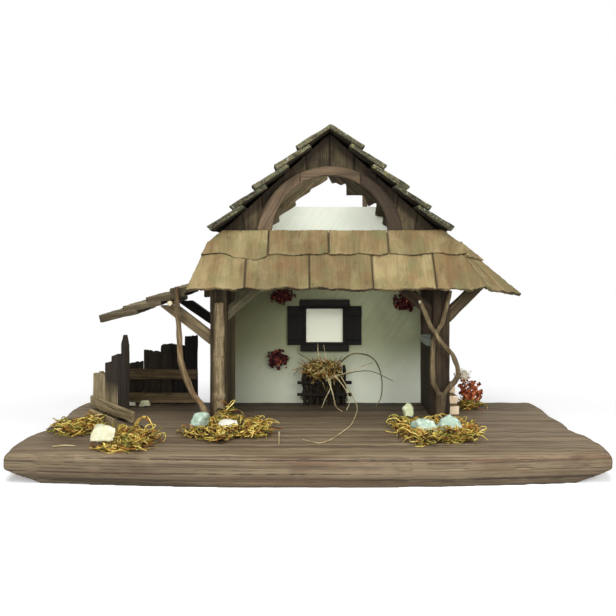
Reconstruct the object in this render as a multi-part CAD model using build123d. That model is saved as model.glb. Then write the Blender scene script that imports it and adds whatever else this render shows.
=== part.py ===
from build123d import *
import math
import os

# A wooden crib stable on a thick base board. Millimetres, +Z up, front towards -Y.
# The origin is the middle of the base board's underside.

# Base board: one thick plank with sawn wavy ends, undercut below
base_length = 640
base_depth = 300
base_thickness = 33
base_undercut = 36
base_tip_height = 15
base_end_round = 12
base_top_round = 7
base_edge_round = 4
base_scallop = 5
base_step = 7
base_bow = 18
base_wave_shares = (0.42, 0.7)
round_steps = 3

# House frame
house_width = 295
house_center = 27
house_depth = 113
house_back_margin = 2
post_size = 21
post_height = 179
beam_height = 20
plate_height = 13.9
brace_size = 14
brace_drop = 58
brace_width = 19
brace_slope_share = 0.9
board_gap = 0.5

# Back wall and window
wall_thickness = 6
wall_gable_rise = 55.1
window_width = 50
window_height = 46
window_offset = 4.5
window_rise = 83
pane_thickness = 2
frame_width = 3.5
frame_thickness = 4
shutter_width = 22
shutter_thickness = 3.5
shutter_batten = 6
shutter_batten_thickness = 1.5
shutter_batten_inset = 7
lintel_height = 9
sill_height = 8
lintel_width = 68
sill_width = 66
sill_depth = 9

# Side walls
side_board_thickness = 8
left_board_count = 4
right_board_count = 4
half_wall_height = 88
half_wall_cap_height = 8
half_wall_cap_reach = 5

# Gable roof
roof_pitch = 42.4
roof_front_overhang = 19
roof_back_overhang = 1
eave_setback = 6.5
roof_board_thickness = 5
ridge_purlin_width = 16
ridge_purlin_height = 18
course_count = 5
ridge_course_run = 45.3
shingle_lap = 14.8
shingle_butt = 7
shingle_head = 5
shingle_starter = 7.5
shingle_gap = 0.6
ragged_depth = 2.2
ragged_points = 7
ragged_shares = (0.0, 0.45, 0.15, 0.8, 0.3, 0.0, 0.6, 1.0, 0.2, 0.5, 0.05)
roof_joint_shares = ((0, 0.27, 0.52, 0.78, 1), (0, 0.19, 0.41, 0.68, 1))

# Gable front: bent arch in three segments, boards behind it
arch_thickness = 8
arch_center_rise = 23
arch_clearance = 2.7
arch_crown_width = 11.5
arch_leg_width = 18.8
arch_joint_offset = 37
gable_board_thickness = 6
gable_board_count = 12
gable_board_lap_share = 0.45
gable_fan_share = 0.3
rear_board_width = 30.5
rear_board_thickness = 6
rear_left_shares = (
    (0, 1.03), (0.18, 0.846), (0.19, 0.903), (0.348, 0.766), (0.342, 0.925), (0.525, 0.766), (0.52, 0.96),
    (0.6, 0.88), (0.61, 0.994), (0.8, 0.88), (1, 0.88),
)
rear_right_shares = (
    (0, 0.914), (0.044, 1.04), (0.085, 0.88), (0.141, 0.823), (0.195, 0.595), (0.2, 0.982), (0.382, 0.482),
    (0.44, 0.686), (0.526, 0.3), (0.511, 0.789), (0.598, 0.573), (0.588, 0.857), (0.7, 0.732), (0.8, 0.88),
    (1, 0.88),
)
rear_strut_width = 7
rear_strut_offset = 51

# Pent roof round the front and right
pent_top_rise = 33
pent_drop = 72
pent_reach = 59
pent_top_left_setback = 3.3
pent_top_right_setback = 3.5
pent_eave_left_reach = 21.5
pent_eave_right_reach = 35
pent_board_thickness = 4
pent_board_setback = 7
pent_hip_margin = 2
pent_exposure = 51.5
pent_lap = 12
pent_butt = 2.8
pent_head = 1.2
pent_ragged = 4.5
pent_lower_shares = (0, 0.194, 0.408, 0.62, 0.828, 1)
pent_upper_shares = (0, 0.267, 0.475, 0.68, 1)
hip_shares = ((0, 0.35, 1), (0, 1))
right_pent_top_rise = 18
right_pent_drop = 65
right_pent_reach = 83
right_pent_front_setback = 12
right_pent_shares = ((0, 0.3, 0.64, 1), (0, 0.46, 1))
right_brace_drop = 60

# Lean-to on the left
lean_to_pitch = 20.5
lean_to_reach = 132
lean_to_drop = 13.5
lean_to_front_overhang = 8
lean_to_back_overhang = 1
lean_to_exposure = 31
lean_to_butt = 7
lean_to_head = 3
lean_to_starter = 7.5
lean_to_count = 4
lean_to_shares = ((0, 0.36, 0.71, 1), (0, 0.3, 0.62, 1), (0, 0.4, 0.68, 1), (0, 0.33, 0.7, 1))
ledger_width = 7.5
ledger_height = 12
purlin_diameter = 7
purlin_offset = 48
lean_brace_drop = 87
lean_brace_width = 17
lean_brace_slope_share = 0.77
lean_back_brace_drop = 77.5
lean_back_brace_width = 14
lean_back_brace_slope_share = 0.69

# Fences of the pen
fence_board_thickness = 6
back_fence_reach = 129.5
back_fence_length = 100
back_fence_setback = 5
back_fence_height = 94
back_fence_edge_shares = (0, 0.26, 0.49, 0.66, 0.82, 1)
back_fence_top_shares = ((0.58, 0.63), (0.79, 0.76), (0.86, 0.88), (0.87, 0.85), (0.98, 1.0))
rail_height = 13
rail_thickness = 4
back_rail_rise = 34
back_rail_low_rise = 2
side_fence_reach = 163.5
side_fence_setback = 38
side_fence_length = 138
side_fence_angle = 54.6
side_fence_height = 105
picket_edge_shares = (0, 0.15, 0.3, 0.45, 0.6, 0.68, 0.78)
picket_top_shares = ((0.45, 0.48), (0.5, 0.47), (0.62, 0.66), (0.72, 0.77), (0.77, 0.74), (0.9, 0.88))
picket_point = 12
side_rail_rise = 4.5
loose_plank_length = 76
loose_plank_height = 11
loose_plank_start = 58
loose_plank_stand_off = 19

# Branches set against the posts
branch_sides = 10
upright_diameter = 12
upright_height = 144
upright_shift = 1.5
upright_shares = ((0, 1.05), (0.17, 0.96), (0.21, 1.22), (0.25, 0.98), (0.55, 1.02), (0.6, 0.92), (1, 0.9))
leaning_diameter = 8.5
leaning_reach = 41
leaning_height = 165
leaning_foot_shift = 2.5
leaning_foot_forward = 7
leaning_shares = (
    (0, 0, 1.3), (0.265, 0.142, 1.1), (0.5, 0.208, 1.05), (0.735, 0.342, 1.1), (0.882, 0.467, 1.0),
    (0.911, 0.586, 1.0), (0.94, 0.709, 0.95), (0.964, 0.776, 1.0), (0.988, 0.861, 0.9), (1, 1, 0.8),
)
fork_diameter = 14
fork_reach = 25
fork_height = 160
fork_foot_shift = 7
prong_diameter = 7.5
prong_spread = 15
fork_trunk_shares = ((0, 0, 1.1), (0.05, 0.1, 0.95), (0.07, 0.21, 1.0))
fork_left_shares = (
    (0.04, 0.19, 1.2), (-0.32, 0.291, 1.15), (-0.344, 0.481, 1.05), (-0.28, 0.6125, 1.05),
    (-0.04, 0.703, 0.95), (0.16, 0.75, 0.95), (0.4, 0.9, 0.9), (0.56, 1.0, 0.85),
)
fork_right_shares = (
    (0.1, 0.19, 1.2), (0.45, 0.26, 1.15), (0.704, 0.306, 1.1), (0.9, 0.36, 1.05), (0.84, 0.42, 1.0),
    (0.6, 0.5125, 1.0), (0.31, 0.56, 1.05), (0.12, 0.594, 1.0), (-0.176, 0.656, 0.95),
    (-0.48, 0.725, 0.95), (-0.76, 0.831, 0.9), (-1.056, 0.931, 0.95),
)

# Hay rack against the back wall
rack_offset = 5
rack_width = 57
rack_height = 54
rack_stand_off = 14
rack_stick = 4
rack_stick_count = 7
rack_overhang = 8
rack_bar_rises = (13, 29)
hay_height = 11
hay_depth = 30

# Stones, moss, dried flowers and firewood
seat_clearance = 0.3
lump_sides = 9
lump_wobble_shares = (0.0, 0.12, 0.04, 0.18, 0.07, 0.0, 0.14, 0.03, 0.1, 0.02, 0.16)
stone_level_shares = ((0, 0.78), (0.42, 1.0), (0.82, 0.72), (1, 0.38))
moss_level_shares = ((0, 1.0), (0.55, 0.94), (1, 0.8))
bunch_level_shares = ((0, 0.7), (0.45, 1.0), (1, 0.5))
moss_height = 7
corner_moss_width = 52
corner_moss_depth = 74
corner_moss_inset = 127
corner_moss_setback = 50
pen_moss_width = 42
pen_moss_depth = 46
pen_moss_inset = 22
pen_moss_forward = 131
left_moss_width = 104
left_moss_depth = 88
left_moss_inset = 24.5
left_moss_forward = 67
right_moss_width = 100
right_moss_depth = 100
right_moss_inset = 32.5
right_moss_forward = 75
stone_width = 31
stone_depth = 22
stone_height = 22
corner_stone_shares = ((-0.29, -0.16, 1, 0.9, 0.9),)
left_stone_shares = ((-0.25, -0.11, 0.77, 0.82, 1), (0.06, 0.05, 0.9, 0.9, 0.64))
right_stone_shares = ((-0.12, 0, 1, 1, 0.77), (0.2, 0.02, 0.87, 0.9, 0.9))
pen_stone_forward = 25
pen_stone_shares = ((0.31, 1, 0.61, 0.64, 0.45), (0.13, 0.92, 0.48, 0.55, 0.36))
bay_stone_inset = 31.5
bay_stone_setback = 15
bay_stone_shares = ((0, 0, 0.55, 0.64, 0.82),)
wall_bunch_width = 30
wall_bunch_height = 27
wall_bunch_depth = 11
wall_bunch_shares = ((0.247, 1.37, 1, 0.74), (0.235, -0.48, 0.97, 1), (0.907, 1.22, 0.93, 1))
corner_bunch_width = 34
corner_bunch_depth = 30
corner_bunch_height = 36
corner_bunch_reach = 41.5
corner_bunch_setback = 40
log_length = 62
log_setback = 33
log_width = 17
log_height = 11
log_count = 3
log_taper = 4

# A length that any cutting block may overrun by
overrun = 900

base_top = base_thickness
half_house = house_width / 2
left_face = house_center - half_house
right_face = house_center + half_house
wall_back = base_depth / 2 - house_back_margin
wall_front = wall_back - wall_thickness
house_front = wall_front - house_depth
beam_bottom = base_top + post_height
beam_top = beam_bottom + beam_height
plate_top = beam_top + plate_height
pitch = math.radians(roof_pitch)
roof_front = house_front - roof_front_overhang
roof_back = wall_back + roof_back_overhang
roof_run = half_house - eave_setback
slope_length = roof_run / math.cos(pitch)
course_exposure = (slope_length - ridge_course_run) / (course_count - 1)
shingle_length = course_exposure + shingle_lap
arch_back = house_front + arch_thickness
gable_back = arch_back + gable_board_thickness
brace_front = house_front + (post_size - brace_size) / 2
back_post_front = wall_front - post_size
back_brace_front = back_post_front + (post_size - brace_size) / 2


def roof_underside(x):
    """Height of the underside of the roof boards over a place along the front."""
    return plate_top + (half_house - abs(x - house_center)) * math.tan(pitch)


def shingle_bed(x):
    """Height of the upper face of the roof boards, where the shingles lie."""
    return roof_underside(x) + roof_board_thickness / math.cos(pitch)


def block(x0, x1, y0, y1, z0, z1):
    """A squared timber between two corners."""
    middle = Pos((x0 + x1) / 2, (y0 + y1) / 2, (z0 + z1) / 2)
    return middle * Box(x1 - x0, y1 - y0, z1 - z0)


def front_prism(points, y0, y1):
    """An outline seen from the front, as thick as from y0 back to y1."""
    face = make_face(Polyline(*points, close=True))
    plane = Plane(origin=(0, y0, 0), x_dir=(1, 0, 0), z_dir=(0, -1, 0))
    return extrude(plane * face, y0 - y1)


def side_prism(points, x0, x1):
    """An outline seen from the side, in depth and height, as wide as from x0 to x1."""
    face = make_face(Polyline(*points, close=True))
    plane = Plane(origin=(x0, 0, 0), x_dir=(0, 1, 0), z_dir=(1, 0, 0))
    return extrude(plane * face, x1 - x0)


def between(first, last, share):
    return first + (last - first) * share


def save(name, *shapes):
    """Write one piece, or a group of like pieces, under its name."""
    solids = [solid for shape in shapes for solid in shape.solids()]
    piece = solids[0] if len(solids) == 1 else Compound(children=solids)
    export_step(piece, f"parts/{name}.step")


def base_outline(end_inset, face_inset):
    """The board's wavy outline, drawn in from its ends and its long faces."""
    half = base_length / 2 - end_inset
    front = face_inset - base_depth / 2
    back = base_depth / 2 - face_inset
    corner = front + base_bow
    waves = [corner] + [between(corner, back, share) for share in base_wave_shares] + [back]
    reaches = [half, half - base_step, half - base_step]
    valleys = [half - base_scallop] + [half - base_step - base_scallop] * len(reaches)
    right = []
    left = []
    for i, reach in enumerate(reaches):
        start = (valleys[i], waves[i])
        crest = (reach, between(waves[i], waves[i + 1], 0.5))
        end = (valleys[i + 1], waves[i + 1])
        right.append(ThreePointArc(start, crest, end))
        mirrored = [(-x, y) for x, y in (end, crest, start)]
        left.insert(0, ThreePointArc(*mirrored))
    front_edge = ThreePointArc((-valleys[0], corner), (0, front), (valleys[0], corner))
    back_edge = Line((valleys[-1], back), (-valleys[-1], back))
    return make_face(Curve() + [front_edge, *right, back_edge, *left])


def base_board():
    """Undercut ends below, a rounded upper edge above."""
    levels = [(0, base_undercut, base_edge_round), (base_tip_height, 0, 0)]
    for step in range(round_steps + 1):
        angle = math.pi / 2 * step / round_steps
        height = base_thickness - base_top_round * (1 - math.sin(angle))
        drawn_in = 1 - math.cos(angle)
        levels.append((height, base_end_round * drawn_in, base_edge_round * drawn_in))
    sections = [Pos(0, 0, z) * base_outline(end, face) for z, end, face in levels]
    return loft(sections, ruled=True)


def brace(foot_x, foot_z, width, side, slope, seat, y0, y1):
    """A brace from an upright face to a level seat above it."""
    upper = foot_z + width
    points = [
        (foot_x, foot_z),
        (foot_x, upper),
        (foot_x + side * (seat - upper) / slope, seat),
        (foot_x + side * (seat - foot_z) / slope, seat),
    ]
    return front_prism(points, y0, y1)


def side_boards(x0, x1, y0, y1, z1, count):
    """Upright boards side by side between two posts."""
    pitch_y = (y1 - y0 + board_gap) / count
    return [
        block(x0, x1, y0 + i * pitch_y, y0 + (i + 1) * pitch_y - board_gap, base_top, z1)
        for i in range(count)
    ]


class Slope:
    """A roof plane: eave along local x, up the slope along local y, outwards along local z."""

    def __init__(self, plane, eave, head_left, head_right, length, fanned=False):
        self.place = plane.location
        self.eave = eave
        self.head_left = head_left
        self.head_right = head_right
        self.length = length
        self.fanned = fanned

    def at(self, share, rise):
        """Local x of a share of the width at a distance up the slope."""
        left = self.head_left * rise / self.length
        right = between(self.eave, self.head_right, rise / self.length)
        return between(left, right, share)

    def joint(self, share, rise):
        """Local x of a shingle's side: inner joints run straight up, unless the slope is fanned."""
        if self.fanned or share in (0, 1):
            return self.at(share, rise)
        return self.eave * share

    def crown(self, narrowest):
        """How far up the slope goes before its sides come closer than this."""
        narrowing = self.eave - (self.head_right - self.head_left)
        if narrowing <= 0:
            return self.length
        return min(self.length, self.length * (self.eave - narrowest) / narrowing)

    def board(self, thickness, left_margin, right_margin, setback):
        """The roof board under the shingles, blunt where its sides run to a point."""
        top = self.crown(left_margin + right_margin + max(left_margin, right_margin))
        points = [
            (self.at(0, setback) + left_margin, setback),
            (self.at(1, setback) - right_margin, setback),
            (self.at(1, top) - right_margin, top),
            (self.at(0, top) + left_margin, top),
        ]
        face = make_face(Polyline(*points, close=True))
        return extrude(self.place * face, -thickness)

    def course(self, number, start, length, shares, exposure, butt, head, ragged, reach, starter=None):
        """One course of split shingles, each a wedge lying on the course below. The first lies on
        the roof boards, unless a starter thickness lifts its butt off them."""
        lift = butt * (length / exposure - 1) + head
        run = min(length, reach - start)
        top_end = between(lift + butt, head, run / length)
        low_start = lift
        if number == 0:
            low_start = lift + butt - starter if starter else 0
        low_end = low_start * (1 - run / length)
        profile = [(0, low_start), (0, lift + butt), (run, top_end), (run, low_end)]
        wedge = extrude(Plane.YZ * make_face(Polyline(*profile, close=True)), overrun, both=True)
        shingles = []
        for i, (share, next_share) in enumerate(zip(shares, shares[1:])):
            crown = [self.joint(share, start + run), self.joint(next_share, start + run)]
            plan = []
            for j in range(ragged_points):
                place = (j + 3 * i + 5 * number) % len(ragged_shares)
                rise = ragged * ragged_shares[place]
                left = self.joint(share, start + rise) + shingle_gap / 2
                right = self.joint(next_share, start + rise) - shingle_gap / 2
                plan.append((between(left, right, j / (ragged_points - 1)), rise))
            plan.append((crown[1] - shingle_gap / 2, run))
            plan.append((crown[0] + shingle_gap / 2, run))
            column = extrude(make_face(Polyline(*plan, close=True)), lift + butt)
            shingles.append(self.place * Pos(0, start, 0) * (column & wedge))
        return shingles


def branch(sections):
    """A bent stick: many-sided sections lofted along its bends, its foot cut level."""
    faces = []
    for i, (point, diameter) in enumerate(sections):
        before = Vector(sections[max(i - 1, 0)][0])
        after = Vector(sections[min(i + 1, len(sections) - 1)][0])
        run = after - before if i else Vector(0, 0, 1)
        across = Vector(0, 1, 0).cross(run)
        section = RegularPolygon(diameter / 2, branch_sides)
        faces.append(Plane(origin=point, x_dir=across, z_dir=run) * section)
    return loft(faces, ruled=True)


def lump(place, width, depth, height, level_shares, turn):
    """An uneven rounded lump with a flat underside."""
    sections = []
    for rise_share, spread_share in level_shares:
        points = []
        for i in range(lump_sides):
            angle = 2 * math.pi * i / lump_sides
            wobble = lump_wobble_shares[(2 * i + turn) % len(lump_wobble_shares)]
            reach = spread_share * (1 - wobble) / 2
            points.append((width * reach * math.cos(angle), depth * reach * math.sin(angle)))
        sections.append(place * Pos(0, 0, height * rise_share) * make_face(Polyline(*points, close=True)))
    return loft(sections, ruled=True)


os.makedirs("parts", exist_ok=True)

# Base and house frame
save("base_board", base_board())
for side, x0 in (("left", left_face), ("right", right_face - post_size)):
    front_post = block(x0, x0 + post_size, house_front, house_front + post_size, base_top, beam_bottom)
    back_post = block(x0, x0 + post_size, back_post_front, wall_front, base_top, beam_top)
    save(f"front_{side}_post", front_post)
    save(f"back_{side}_post", back_post)
save("front_beam", block(left_face, right_face, house_front, house_front + post_size, beam_bottom, beam_top))

# Wall plates with their tops planed to the roof slope
plates = []
for outer, inner in ((left_face, left_face + post_size), (right_face, right_face - post_size)):
    points = [
        (outer, beam_top),
        (inner, beam_top),
        (inner, roof_underside(inner)),
        (outer, roof_underside(outer)),
    ]
    plates.append(front_prism(points, gable_back, wall_front))
save("wall_plates", *plates)

# Braces under the front beam
for side, foot_x, way in (("left", left_face + post_size, 1), ("right", right_face - post_size, -1)):
    piece = brace(foot_x, beam_bottom - brace_drop, brace_width, way, brace_slope_share, beam_bottom,
                  brace_front, brace_front + brace_size)
    save(f"{side}_inner_brace", piece)

# Back wall with its window opening
window_bottom = base_top + window_rise
window_top = window_bottom + window_height
window_center = house_center - window_offset
window_left = window_center - window_width / 2
window_right = window_center + window_width / 2
wall_top = plate_top + wall_gable_rise
wall_shoulder = half_house - (wall_top - plate_top) / math.tan(pitch)
wall_outline = [
    (left_face, base_top),
    (right_face, base_top),
    (right_face, plate_top),
    (house_center + wall_shoulder, wall_top),
    (house_center - wall_shoulder, wall_top),
    (left_face, plate_top),
]
window_hole = block(window_left, window_right, 0, overrun, window_bottom, window_top)
save("back_wall", front_prism(wall_outline, wall_front, wall_back) - window_hole)
pane_front = wall_front + (wall_thickness - pane_thickness) / 2
save("window_pane", block(window_left, window_right, pane_front, pane_front + pane_thickness,
                          window_bottom, window_top))

# Window frame, lintel, sill and the two fixed shutters
frame_left = window_left - frame_width
frame_right = window_right + frame_width
frame_bottom = window_bottom - frame_width
frame_top = window_top + frame_width
frame_front = wall_front - frame_thickness
surround = block(frame_left, frame_right, frame_front, wall_front, frame_bottom, frame_top) - window_hole
lintel = block(window_center - lintel_width / 2, window_center + lintel_width / 2,
               wall_front - sill_depth, wall_front, frame_top, frame_top + lintel_height)
sill = block(window_center - sill_width / 2, window_center + sill_width / 2,
             wall_front - sill_depth, wall_front, frame_bottom - sill_height, frame_bottom)
save("window_frame", surround, lintel, sill)
for side, x0 in (("left", frame_left - shutter_width), ("right", frame_right)):
    leaf_front = wall_front - shutter_thickness
    shutter = block(x0, x0 + shutter_width, leaf_front, wall_front, frame_bottom, frame_top)
    for low in (frame_bottom + shutter_batten_inset, frame_top - shutter_batten_inset - shutter_batten):
        shutter += block(x0, x0 + shutter_width, leaf_front - shutter_batten_thickness, leaf_front,
                         low, low + shutter_batten)
    save(f"{side}_shutter", shutter)

# Side walls: full height on the left, half height with a cap on the right
inner_left = left_face + post_size
inner_right = right_face - post_size
bay_front = house_front + post_size
save("left_wall_boards", *side_boards(inner_left - side_board_thickness, inner_left, bay_front,
                                      back_post_front, beam_top, left_board_count))
half_wall_top = base_top + half_wall_height
save("right_half_wall_boards", *side_boards(inner_right, inner_right + side_board_thickness, bay_front,
                                            back_post_front, half_wall_top, right_board_count))
save("right_half_wall_cap", block(inner_right - half_wall_cap_reach,
                                  inner_right + side_board_thickness + half_wall_cap_reach,
                                  bay_front, back_post_front, half_wall_top,
                                  half_wall_top + half_wall_cap_height))

# Gable roof boards, mitred at the ridge, on a ridge purlin
ridge_under = roof_underside(house_center)
ridge_top = shingle_bed(house_center)
eave_top = ridge_top - roof_run * math.tan(pitch)
for side, way in (("left", -1), ("right", 1)):
    eave_x = house_center + way * roof_run
    points = [
        (eave_x, eave_top),
        (house_center, ridge_top),
        (house_center, ridge_under),
        (eave_x - way * roof_board_thickness * math.sin(pitch),
         eave_top - roof_board_thickness * math.cos(pitch)),
    ]
    save(f"{side}_roof_board", front_prism(points, gable_back, roof_back))
    start_y = roof_back if way < 0 else roof_front
    plane = Plane(origin=(eave_x, start_y, eave_top), x_dir=(0, way, 0),
                  z_dir=(way * math.sin(pitch), 0, math.cos(pitch)))
    slope = Slope(plane, roof_back - roof_front, 0, roof_back - roof_front, slope_length)
    near_half = block(min(0, way) * overrun + house_center, max(0, way) * overrun + house_center,
                      -overrun, overrun, -overrun, overrun)
    for number in range(course_count):
        shares = roof_joint_shares[number % len(roof_joint_shares)]
        last = number == course_count - 1
        reach = slope_length + shingle_butt if last else slope_length
        shingles = slope.course(number, number * course_exposure, shingle_length, shares, course_exposure,
                                shingle_butt, shingle_head, ragged_depth, reach, shingle_starter)
        if last:
            shingles = [shingle & near_half for shingle in shingles]
        save(f"{side}_roof_course_{number + 1}", *shingles)
purlin_half = ridge_purlin_width / 2
purlin_bottom = ridge_under - ridge_purlin_height
purlin_outline = [
    (house_center - purlin_half, purlin_bottom),
    (house_center + purlin_half, purlin_bottom),
    (house_center + purlin_half, roof_underside(house_center + purlin_half)),
    (house_center, ridge_under),
    (house_center - purlin_half, roof_underside(house_center - purlin_half)),
]
rear_board_front = wall_front - rear_board_thickness
save("ridge_purlin", front_prism(purlin_outline, gable_back, rear_board_front))

# Arch of three segments standing on the front beam
arch_center = beam_top + arch_center_rise
arch_outer = (ridge_under - arch_center) * math.cos(pitch) - arch_clearance
arch_inner = arch_outer - arch_leg_width
inner_center = arch_center + arch_outer - arch_crown_width - arch_inner


def arch_shape(radius, center):
    """A round-headed outline whose sides run down to the front beam."""
    points = [
        (house_center - radius, beam_top),
        (house_center + radius, beam_top),
        (house_center + radius, center),
        (house_center - radius, center),
    ]
    return make_face(Polyline(*points, close=True)) + Pos(house_center, center) * Circle(radius)


def on_front(face, y0, y1):
    plane = Plane(origin=(0, y0, 0), x_dir=(1, 0, 0), z_dir=(0, -1, 0))
    return extrude(plane * face, y0 - y1)


above_beam = block(-overrun, overrun, -overrun, overrun, beam_top, overrun)
arch = on_front(arch_shape(arch_outer, arch_center) - arch_shape(arch_inner, inner_center),
                house_front, arch_back) & above_beam
joints = (house_center - overrun, house_center - arch_joint_offset,
          house_center + arch_joint_offset, house_center + overrun)
for name, x0, x1 in zip(("left", "crown", "right"), joints, joints[1:]):
    save(f"arch_{name}_segment", arch & block(x0, x1, -overrun, overrun, beam_top, overrun))

# Upright boards closing the front gable behind the arch
gable_outline = [
    (left_face, beam_top),
    (right_face, beam_top),
    (right_face, shingle_bed(right_face)),
    (house_center, ridge_top),
    (left_face, shingle_bed(left_face)),
]
lap_radius = between(arch_inner, arch_outer, gable_board_lap_share)
gable_face = make_face(Polyline(*gable_outline, close=True)) - arch_shape(lap_radius, arch_center)
gable_boards = []
for i in range(gable_board_count):
    edges = [left_face + house_width * j / gable_board_count for j in (i, i + 1)]
    fanned = [house_center + (x - house_center) * (1 + gable_fan_share) for x in edges]
    strip = [
        (edges[0] + board_gap / 2, beam_top),
        (edges[1] - board_gap / 2, beam_top),
        (fanned[1] - board_gap / 2, ridge_top),
        (fanned[0] + board_gap / 2, ridge_top),
    ]
    gable_boards.append(on_front(gable_face & make_face(Polyline(*strip, close=True)), arch_back, gable_back))
save("front_gable_boards", *gable_boards)

# Ragged boards under the roof at the back, and the strut on the back wall
rear_boards = []
drop = rear_board_width / math.cos(pitch)
rear_end = half_house - post_size
for way, shares in ((-1, rear_left_shares), (1, rear_right_shares)):
    lower = []
    for run, depth in shares:
        x = house_center + way * between(board_gap / 2, rear_end, run)
        lower.append((x, max(roof_underside(x) - drop * depth, beam_top)))
    outline = [(x, roof_underside(x)) for x, _ in (lower[-1], lower[0])]
    rear_boards.append(front_prism(outline + lower, rear_board_front, wall_front))
save("rear_gable_boards", *rear_boards)
strut_left = house_center + rear_strut_offset - rear_strut_width / 2
strut_right = strut_left + rear_strut_width
save("rear_gable_strut", front_prism([
    (strut_left, wall_top),
    (strut_right, wall_top),
    (strut_right, roof_underside(strut_right)),
    (strut_left, roof_underside(strut_left)),
], wall_front, wall_back))

# Pent roof: a front slope, a corner facet and a slope along the right side
pent_top = beam_top + pent_top_rise
pent_low = pent_top - pent_drop
pent_eave_y = house_front - pent_reach
right_top = beam_top + right_pent_top_rise
right_eave = Vector(right_face + right_pent_reach, house_front - right_pent_front_setback,
                    right_top - right_pent_drop)
left_corner = Vector(left_face - pent_eave_left_reach, pent_eave_y, pent_low)
hip_corner = Vector(right_face + pent_eave_right_reach, pent_eave_y, pent_low)
hip_top = Vector(right_face - pent_top_right_setback, house_front, pent_top)
front_normal = Vector(0, -pent_drop, pent_reach)
front_length = math.hypot(pent_drop, pent_reach)
front_slope = Slope(
    Plane(origin=left_corner, x_dir=(1, 0, 0), z_dir=front_normal),
    hip_corner.X - left_corner.X,
    pent_eave_left_reach + pent_top_left_setback,
    hip_top.X - left_corner.X,
    front_length,
)
facet_run = right_eave - hip_corner
facet_rise = hip_top - hip_corner
facet_normal = facet_run.cross(facet_rise)
facet_plane = Plane(origin=hip_corner, x_dir=facet_run, z_dir=facet_normal)
facet_head = facet_plane.to_local_coords(hip_top)
facet_slope = Slope(facet_plane, facet_run.length, facet_head.X, facet_head.X, facet_head.Y, fanned=True)
right_length = math.hypot(right_pent_drop, right_pent_reach)
right_slope = Slope(
    Plane(origin=right_eave, x_dir=(0, 1, 0), z_dir=(right_pent_drop, 0, right_pent_reach)),
    roof_back - right_eave.Y,
    right_pent_front_setback,
    roof_back - right_eave.Y,
    right_length,
)

# The pent roof tucks under the gable roof and stops at the walls
eave_rise = shingle_butt * shingle_length / course_exposure + shingle_head
shadow_half = roof_run + eave_rise * math.sin(pitch) + seat_clearance
roof_shadow = [
    (house_center - shadow_half, shingle_bed(house_center - shadow_half) - seat_clearance),
    (house_center, ridge_top - seat_clearance),
    (house_center + shadow_half, shingle_bed(house_center + shadow_half) - seat_clearance),
    (house_center + shadow_half, overrun),
    (house_center - shadow_half, overrun),
]
above_roof = front_prism(roof_shadow, roof_front - seat_clearance, overrun)
ahead_of_wall = block(-overrun, overrun, -overrun, house_front, -overrun, overrun)
right_of_wall = block(right_face, overrun, -overrun, overrun, -overrun, overrun)
front_board = front_slope.board(pent_board_thickness, 0, pent_hip_margin, pent_board_setback)
hip_board = facet_slope.board(pent_board_thickness, pent_hip_margin, pent_hip_margin, pent_board_setback)
right_board = right_slope.board(pent_board_thickness, pent_hip_margin, 0, pent_board_setback)
pent_boards = (front_board & ahead_of_wall, hip_board & ahead_of_wall, right_board & right_of_wall)
save("pent_roof_boards", *[board - above_roof for board in pent_boards])


def pent_courses(slope, tables, ragged):
    courses = []
    for number, shares in enumerate(tables):
        courses.append([shingle - above_roof for shingle in slope.course(
            number, number * pent_exposure, pent_exposure + pent_lap, shares, pent_exposure,
            pent_butt, pent_head, ragged, slope.crown(pent_hip_margin))])
    return courses


lower, upper = pent_courses(front_slope, (pent_lower_shares, pent_upper_shares), pent_ragged)
save("front_pent_lower_shingles", *lower)
save("front_pent_upper_shingles", *upper)
hip_lower, hip_upper = pent_courses(facet_slope, hip_shares, ragged_depth)
save("hip_shingles", *hip_lower, *hip_upper)
right_lower, right_upper = pent_courses(right_slope, right_pent_shares, ragged_depth)
save("right_pent_shingles", *right_lower, *right_upper)

# The outer brace on the right carries the right pent board
right_grade = right_pent_drop / right_pent_reach
board_under = right_top - pent_board_thickness * right_length / right_pent_reach
brace_low = beam_bottom - right_brace_drop
meets = [(board_under - foot) / (1 + right_grade) for foot in (brace_low + brace_width, brace_low)]
save("right_outer_brace", front_prism([
    (right_face, brace_low),
    (right_face, brace_low + brace_width),
    (right_face + meets[0], board_under - meets[0] * right_grade),
    (right_face + meets[1], board_under - meets[1] * right_grade),
], brace_front, brace_front + brace_size))

# Lean-to: ledger on the posts, round purlin on two braces, four lapped courses
lean_pitch = math.radians(lean_to_pitch)
lean_to_front = house_front - lean_to_front_overhang
lean_to_back = wall_back + lean_to_back_overhang
lean_top = beam_bottom - lean_to_drop
lean_low = lean_top - lean_to_reach * math.tan(lean_pitch)
lean_slope = Slope(
    Plane(origin=(left_face - lean_to_reach, lean_to_back, lean_low), x_dir=(0, -1, 0),
          z_dir=(-math.sin(lean_pitch), 0, math.cos(lean_pitch))),
    lean_to_back - lean_to_front, 0, lean_to_back - lean_to_front, lean_to_reach / math.cos(lean_pitch),
)
lean_to_length = lean_slope.length - (lean_to_count - 1) * lean_to_exposure
lean_shingles = []
for number in range(lean_to_count):
    lean_shingles += lean_slope.course(number, number * lean_to_exposure, lean_to_length,
                                       lean_to_shares[number], lean_to_exposure, lean_to_butt,
                                       lean_to_head, ragged_depth, lean_slope.length, lean_to_starter)
save("lean_to_shingles", *lean_shingles)
ledger_outer_top = lean_top - ledger_width * math.tan(lean_pitch)
save("lean_to_ledger", front_prism([
    (left_face, lean_top),
    (left_face, ledger_outer_top - ledger_height),
    (left_face - ledger_width, ledger_outer_top - ledger_height),
    (left_face - ledger_width, ledger_outer_top),
], house_front, wall_front))
purlin_radius = purlin_diameter / 2
purlin_x = left_face - purlin_offset
purlin_z = lean_top - purlin_offset * math.tan(lean_pitch) - purlin_radius / math.cos(lean_pitch)
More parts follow.
